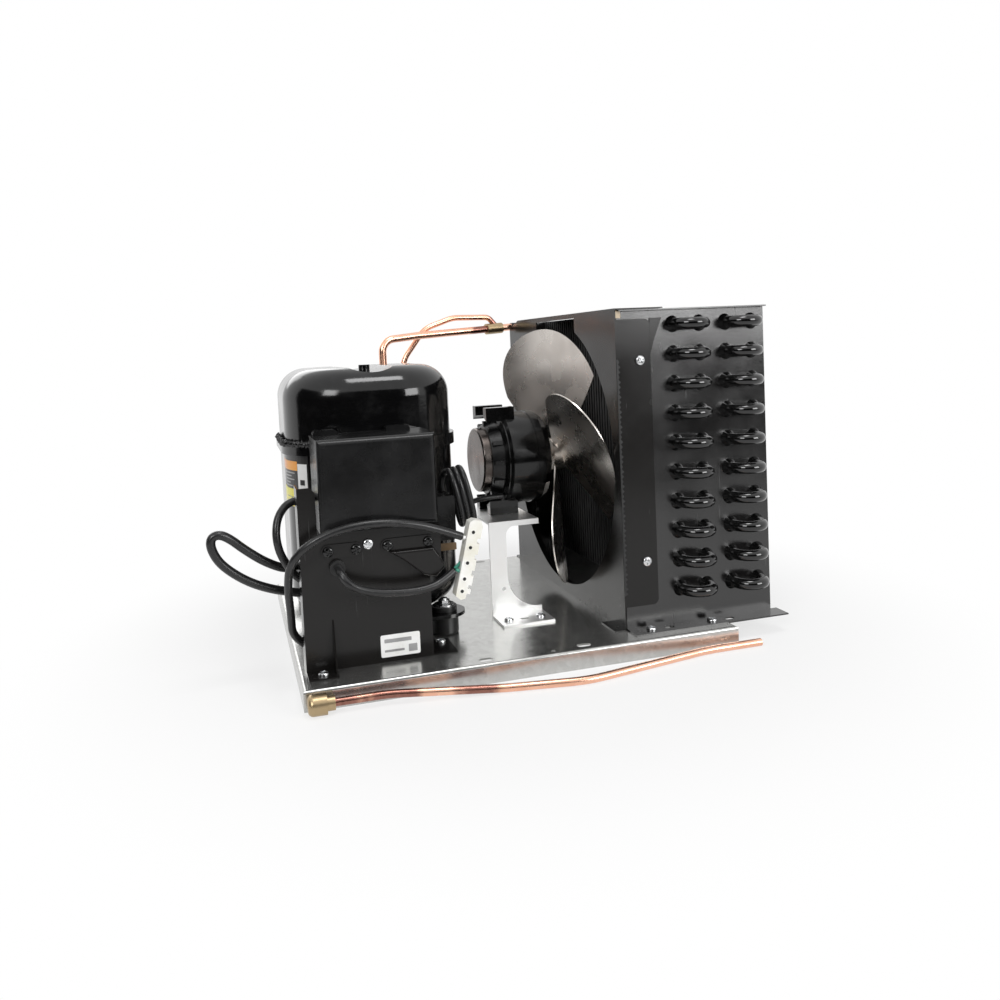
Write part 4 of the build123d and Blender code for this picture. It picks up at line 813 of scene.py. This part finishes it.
def screw_mesh(top, outward, radius, length, turn):
    """Pan head with a cross recess, a washer edge and a plain shank."""
    sides, rings = 48, 14
    across = outward.orthogonal().normalized()
    other = outward.cross(across)
    vertices, faces = [top - outward * RECESS_DEPTH], []

    def ring(reach, depth_at):
        for side in range(sides):
            angle = math.tau * side / sides
            x, y = reach * math.cos(angle), reach * math.sin(angle)
            vertices.append(top + across * x + other * y - outward * depth_at(x, y))

    def dome(x, y):
        flat = (x * x + y * y) / radius**2
        u, v = x * math.cos(turn) + y * math.sin(turn), y * math.cos(turn) - x * math.sin(turn)
        inside = min(abs(u), abs(v)) < RECESS_HALF_WIDTH and max(abs(u), abs(v)) < radius * RECESS_REACH
        return max(DOME_FALL * flat * flat, RECESS_DEPTH if inside else 0)

    for k in range(1, rings + 1):
        ring(radius * RIM_START * k / rings, dome)
    ring(radius, lambda x, y: SCREW_HEAD_HEIGHT * RIM_TOP)
    ring(radius, lambda x, y: SCREW_HEAD_HEIGHT)
    ring(SCREW_SHANK, lambda x, y: SCREW_HEAD_HEIGHT)
    ring(SCREW_SHANK, lambda x, y: length)
    total = rings + 4
    faces += [(0, 1 + k, 1 + (k + 1) % sides) for k in range(sides)]
    for k in range(total - 1):
        for side in range(sides):
            a, b = 1 + k * sides + side, 1 + k * sides + (side + 1) % sides
            faces.append((a, a + sides, b + sides, b))
    faces.append(tuple(1 + (total - 1) * sides + side for side in range(sides))[::-1])
    return vertices, faces


slot_of = {part["node"]: part["material_slot"] for part in frame["record"]["subparts"]}
for node in ("shield_screws", "clamp_screws", "shroud_screws", "condenser_foot_screws", "bracket_screws"):
    vertices, faces = [], []
    for count, points in enumerate(islands(nodes[node].data)):
        more, sheets = screw_mesh(*screw_frame(points), turn=FIRST_TURN + count * TURN_STEP)
        faces += [tuple(index + len(vertices) for index in sheet) for sheet in sheets]
        vertices += more
    slot = slot_of[node]
    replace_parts(mesh_piece(f"{node}_recessed", vertices, faces, MATERIALS[slot], slot), node)

# ---------------------------------------------------------------- cords
# POWER_CORD, SUPPLY_CORD and SIDE_CORD repeat the source's points. LOOP_CORD has one more point at its tip, and
# FAN_LEAD goes its own way to the motor, up to 14 mm from its CAD solid.
CORD_DIAMETER = 0.0064
LOOP_DIAMETER = 0.0072
LEAD_DIAMETER = 0.005

POWER_CORD = [
    (0.013, 0.067, 0.026),
    (-0.0015, 0.063, 0.036),
    (-0.0025, 0.051, 0.060),
    (-0.0045, 0.038, 0.085),
    (-0.0025, 0.027, 0.106),
    (0.013, 0.020, 0.122),
    (0.037, 0.0185, 0.1305),
    (0.065, 0.0185, 0.1325),
    (0.093, 0.0195, 0.1285),
    (0.117, 0.023, 0.120),
    (0.133, 0.026, 0.113),
]
SUPPLY_CORD = [
    (0.034, 0.031, 0.097),
    (0.034, 0.021, 0.097),
    (0.039, 0.016, 0.088),
    (0.052, 0.016, 0.0805),
    (0.073, 0.0165, 0.0765),
    (0.097, 0.018, 0.0755),
    (0.114, 0.021, 0.079),
    (0.125, 0.025, 0.086),
]
LOOP_CORD = [
    (0.038, 0.074, 0.125),
    (0.038, 0.074, 0.110),
    (0.018, 0.074, 0.099),
    (0.000, 0.073, 0.090),
    (-0.018, 0.068, 0.099),
    (-0.034, 0.064, 0.112),
    (-0.0455, 0.060, 0.1235),
    (-0.0535, 0.058, 0.1280),
    (-0.0597, 0.058, 0.1250),
    (-0.0595, 0.058, 0.1160),
    (-0.0530, 0.060, 0.1030),
    (-0.036, 0.064, 0.088),
    (-0.018, 0.069, 0.078),
    (0.000, 0.073, 0.072),
    (0.020, 0.074, 0.067),
    (0.045, 0.074, 0.070),
    (0.060, 0.074, 0.092),
    (0.060, 0.074, 0.125),
]
SIDE_CORD = [
    (0.022, 0.065, 0.149),
    (0.004, 0.065, 0.149),
    (-0.007, 0.060, 0.139),
    (-0.0105, 0.055, 0.125),
    (-0.0085, 0.054, 0.110),
    (-0.003, 0.059, 0.098),
    (0.003, 0.066, 0.087),
    (0.014, 0.066, 0.078),
    (0.036, 0.060, 0.068),
    (0.060, 0.060, 0.066),
    (0.082, 0.066, 0.074),
    (0.092, 0.076, 0.092),
    (0.098, 0.076, 0.112),
    (0.1163, 0.076, 0.112),
]
HANK_CENTRE = Vector((0.14517, 0.070, 0.13805))
HANK_TILT = math.radians(12)
HANK_SIDE = Vector((math.cos(HANK_TILT), 0, math.sin(HANK_TILT)))
HANK_RISE = Vector((-math.sin(HANK_TILT), 0, math.cos(HANK_TILT)))
HANK_HALF_WIDTH = 0.0127
HANK_HALF_HEIGHT = 0.0245
POINTS_PER_TURN = 12
ACROSS_POWER = 0.75
RISE_POWER = 0.9


def hank_turns():
    """Two and a half turns wound side by side, from the hank's foot to its top."""
    points = []
    for k in range(2 * POINTS_PER_TURN + POINTS_PER_TURN // 2 + 1):
        angle = math.tau * k / POINTS_PER_TURN
        across = math.copysign(abs(math.sin(angle)) ** ACROSS_POWER, -math.sin(angle)) * HANK_HALF_WIDTH
        up = math.copysign(abs(math.cos(angle)) ** RISE_POWER, -math.cos(angle)) * HANK_HALF_HEIGHT
        turn, within = divmod(k, POINTS_PER_TURN)
        strand = 1 - turn - max(0.0, within / POINTS_PER_TURN - 0.5) * 2
        point = HANK_CENTRE + HANK_SIDE * LEAD_DIAMETER * strand + HANK_RISE * up
        points.append((point.x, point.y + across, point.z))
    return points


FAN_LEAD = [
    (0.206, 0.143, 0.121),
    (0.180, 0.143, 0.121),
    (0.162, 0.122, 0.118),
    (0.157, 0.100, 0.116),
    (0.1555, 0.084, 0.1150),
    *hank_turns(),
    (0.1340, 0.079, 0.158),
    (0.1315, 0.0815, 0.150),
    (0.1315, 0.0815, 0.1415),
]


def curve_piece(name, points, diameter, material):
    """Smooth round cord on the control points, which are metres from the pan's corner."""
    data = bpy.data.curves.new(name, "CURVE")
    data.dimensions = "3D"
    data.bevel_depth = diameter / 2
    data.bevel_resolution = 5
    data.use_fill_caps = True
    data.resolution_u = 10
    spline = data.splines.new("NURBS")
    spline.points.add(len(points) - 1)
    for target, point in zip(spline.points, points):
        target.co = (*from_corner(*point), 1.0)
    spline.order_u = 3
    spline.use_endpoint_u = True
    piece = bpy.data.objects.new(name, data)
    piece.data.materials.append(material)
    bpy.context.scene.collection.objects.link(piece)
    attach(piece, "unit")
    return piece


def spline_length(piece):
    """Length of a curve piece along its own line."""
    bare = piece.data.copy()
    bare.bevel_depth = 0
    probe = bpy.data.objects.new("probe", bare)
    mesh = bpy.data.meshes.new_from_object(probe)
    line = [v.co.copy() for v in mesh.vertices]
    bpy.data.objects.remove(probe)
    bpy.data.meshes.remove(mesh)
    bpy.data.curves.remove(bare)
    return sum((b - a).length for a, b in zip(line, line[1:]))


def free_cord(name, replaced, points, diameter):
    """Cord that stands for the replaced CAD nodes. Its length along its line is measured and rounded, and not
    kept.
    """
    piece = curve_piece(name, points, diameter, MATERIALS["cord_black"])
    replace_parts(piece, *replaced)
    round(spline_length(piece), 3)


free_cord("power_lead", ["power_cord"], POWER_CORD, CORD_DIAMETER)
free_cord("supply_lead", ["supply_cord"], SUPPLY_CORD, CORD_DIAMETER)
free_cord("loop_lead", ["loop_cord"], LOOP_CORD, LOOP_DIAMETER)
free_cord("side_lead", ["side_cord"], SIDE_CORD, CORD_DIAMETER)
free_cord("motor_lead", ["fan_lead", "fan_lead_hank"], FAN_LEAD, LEAD_DIAMETER)
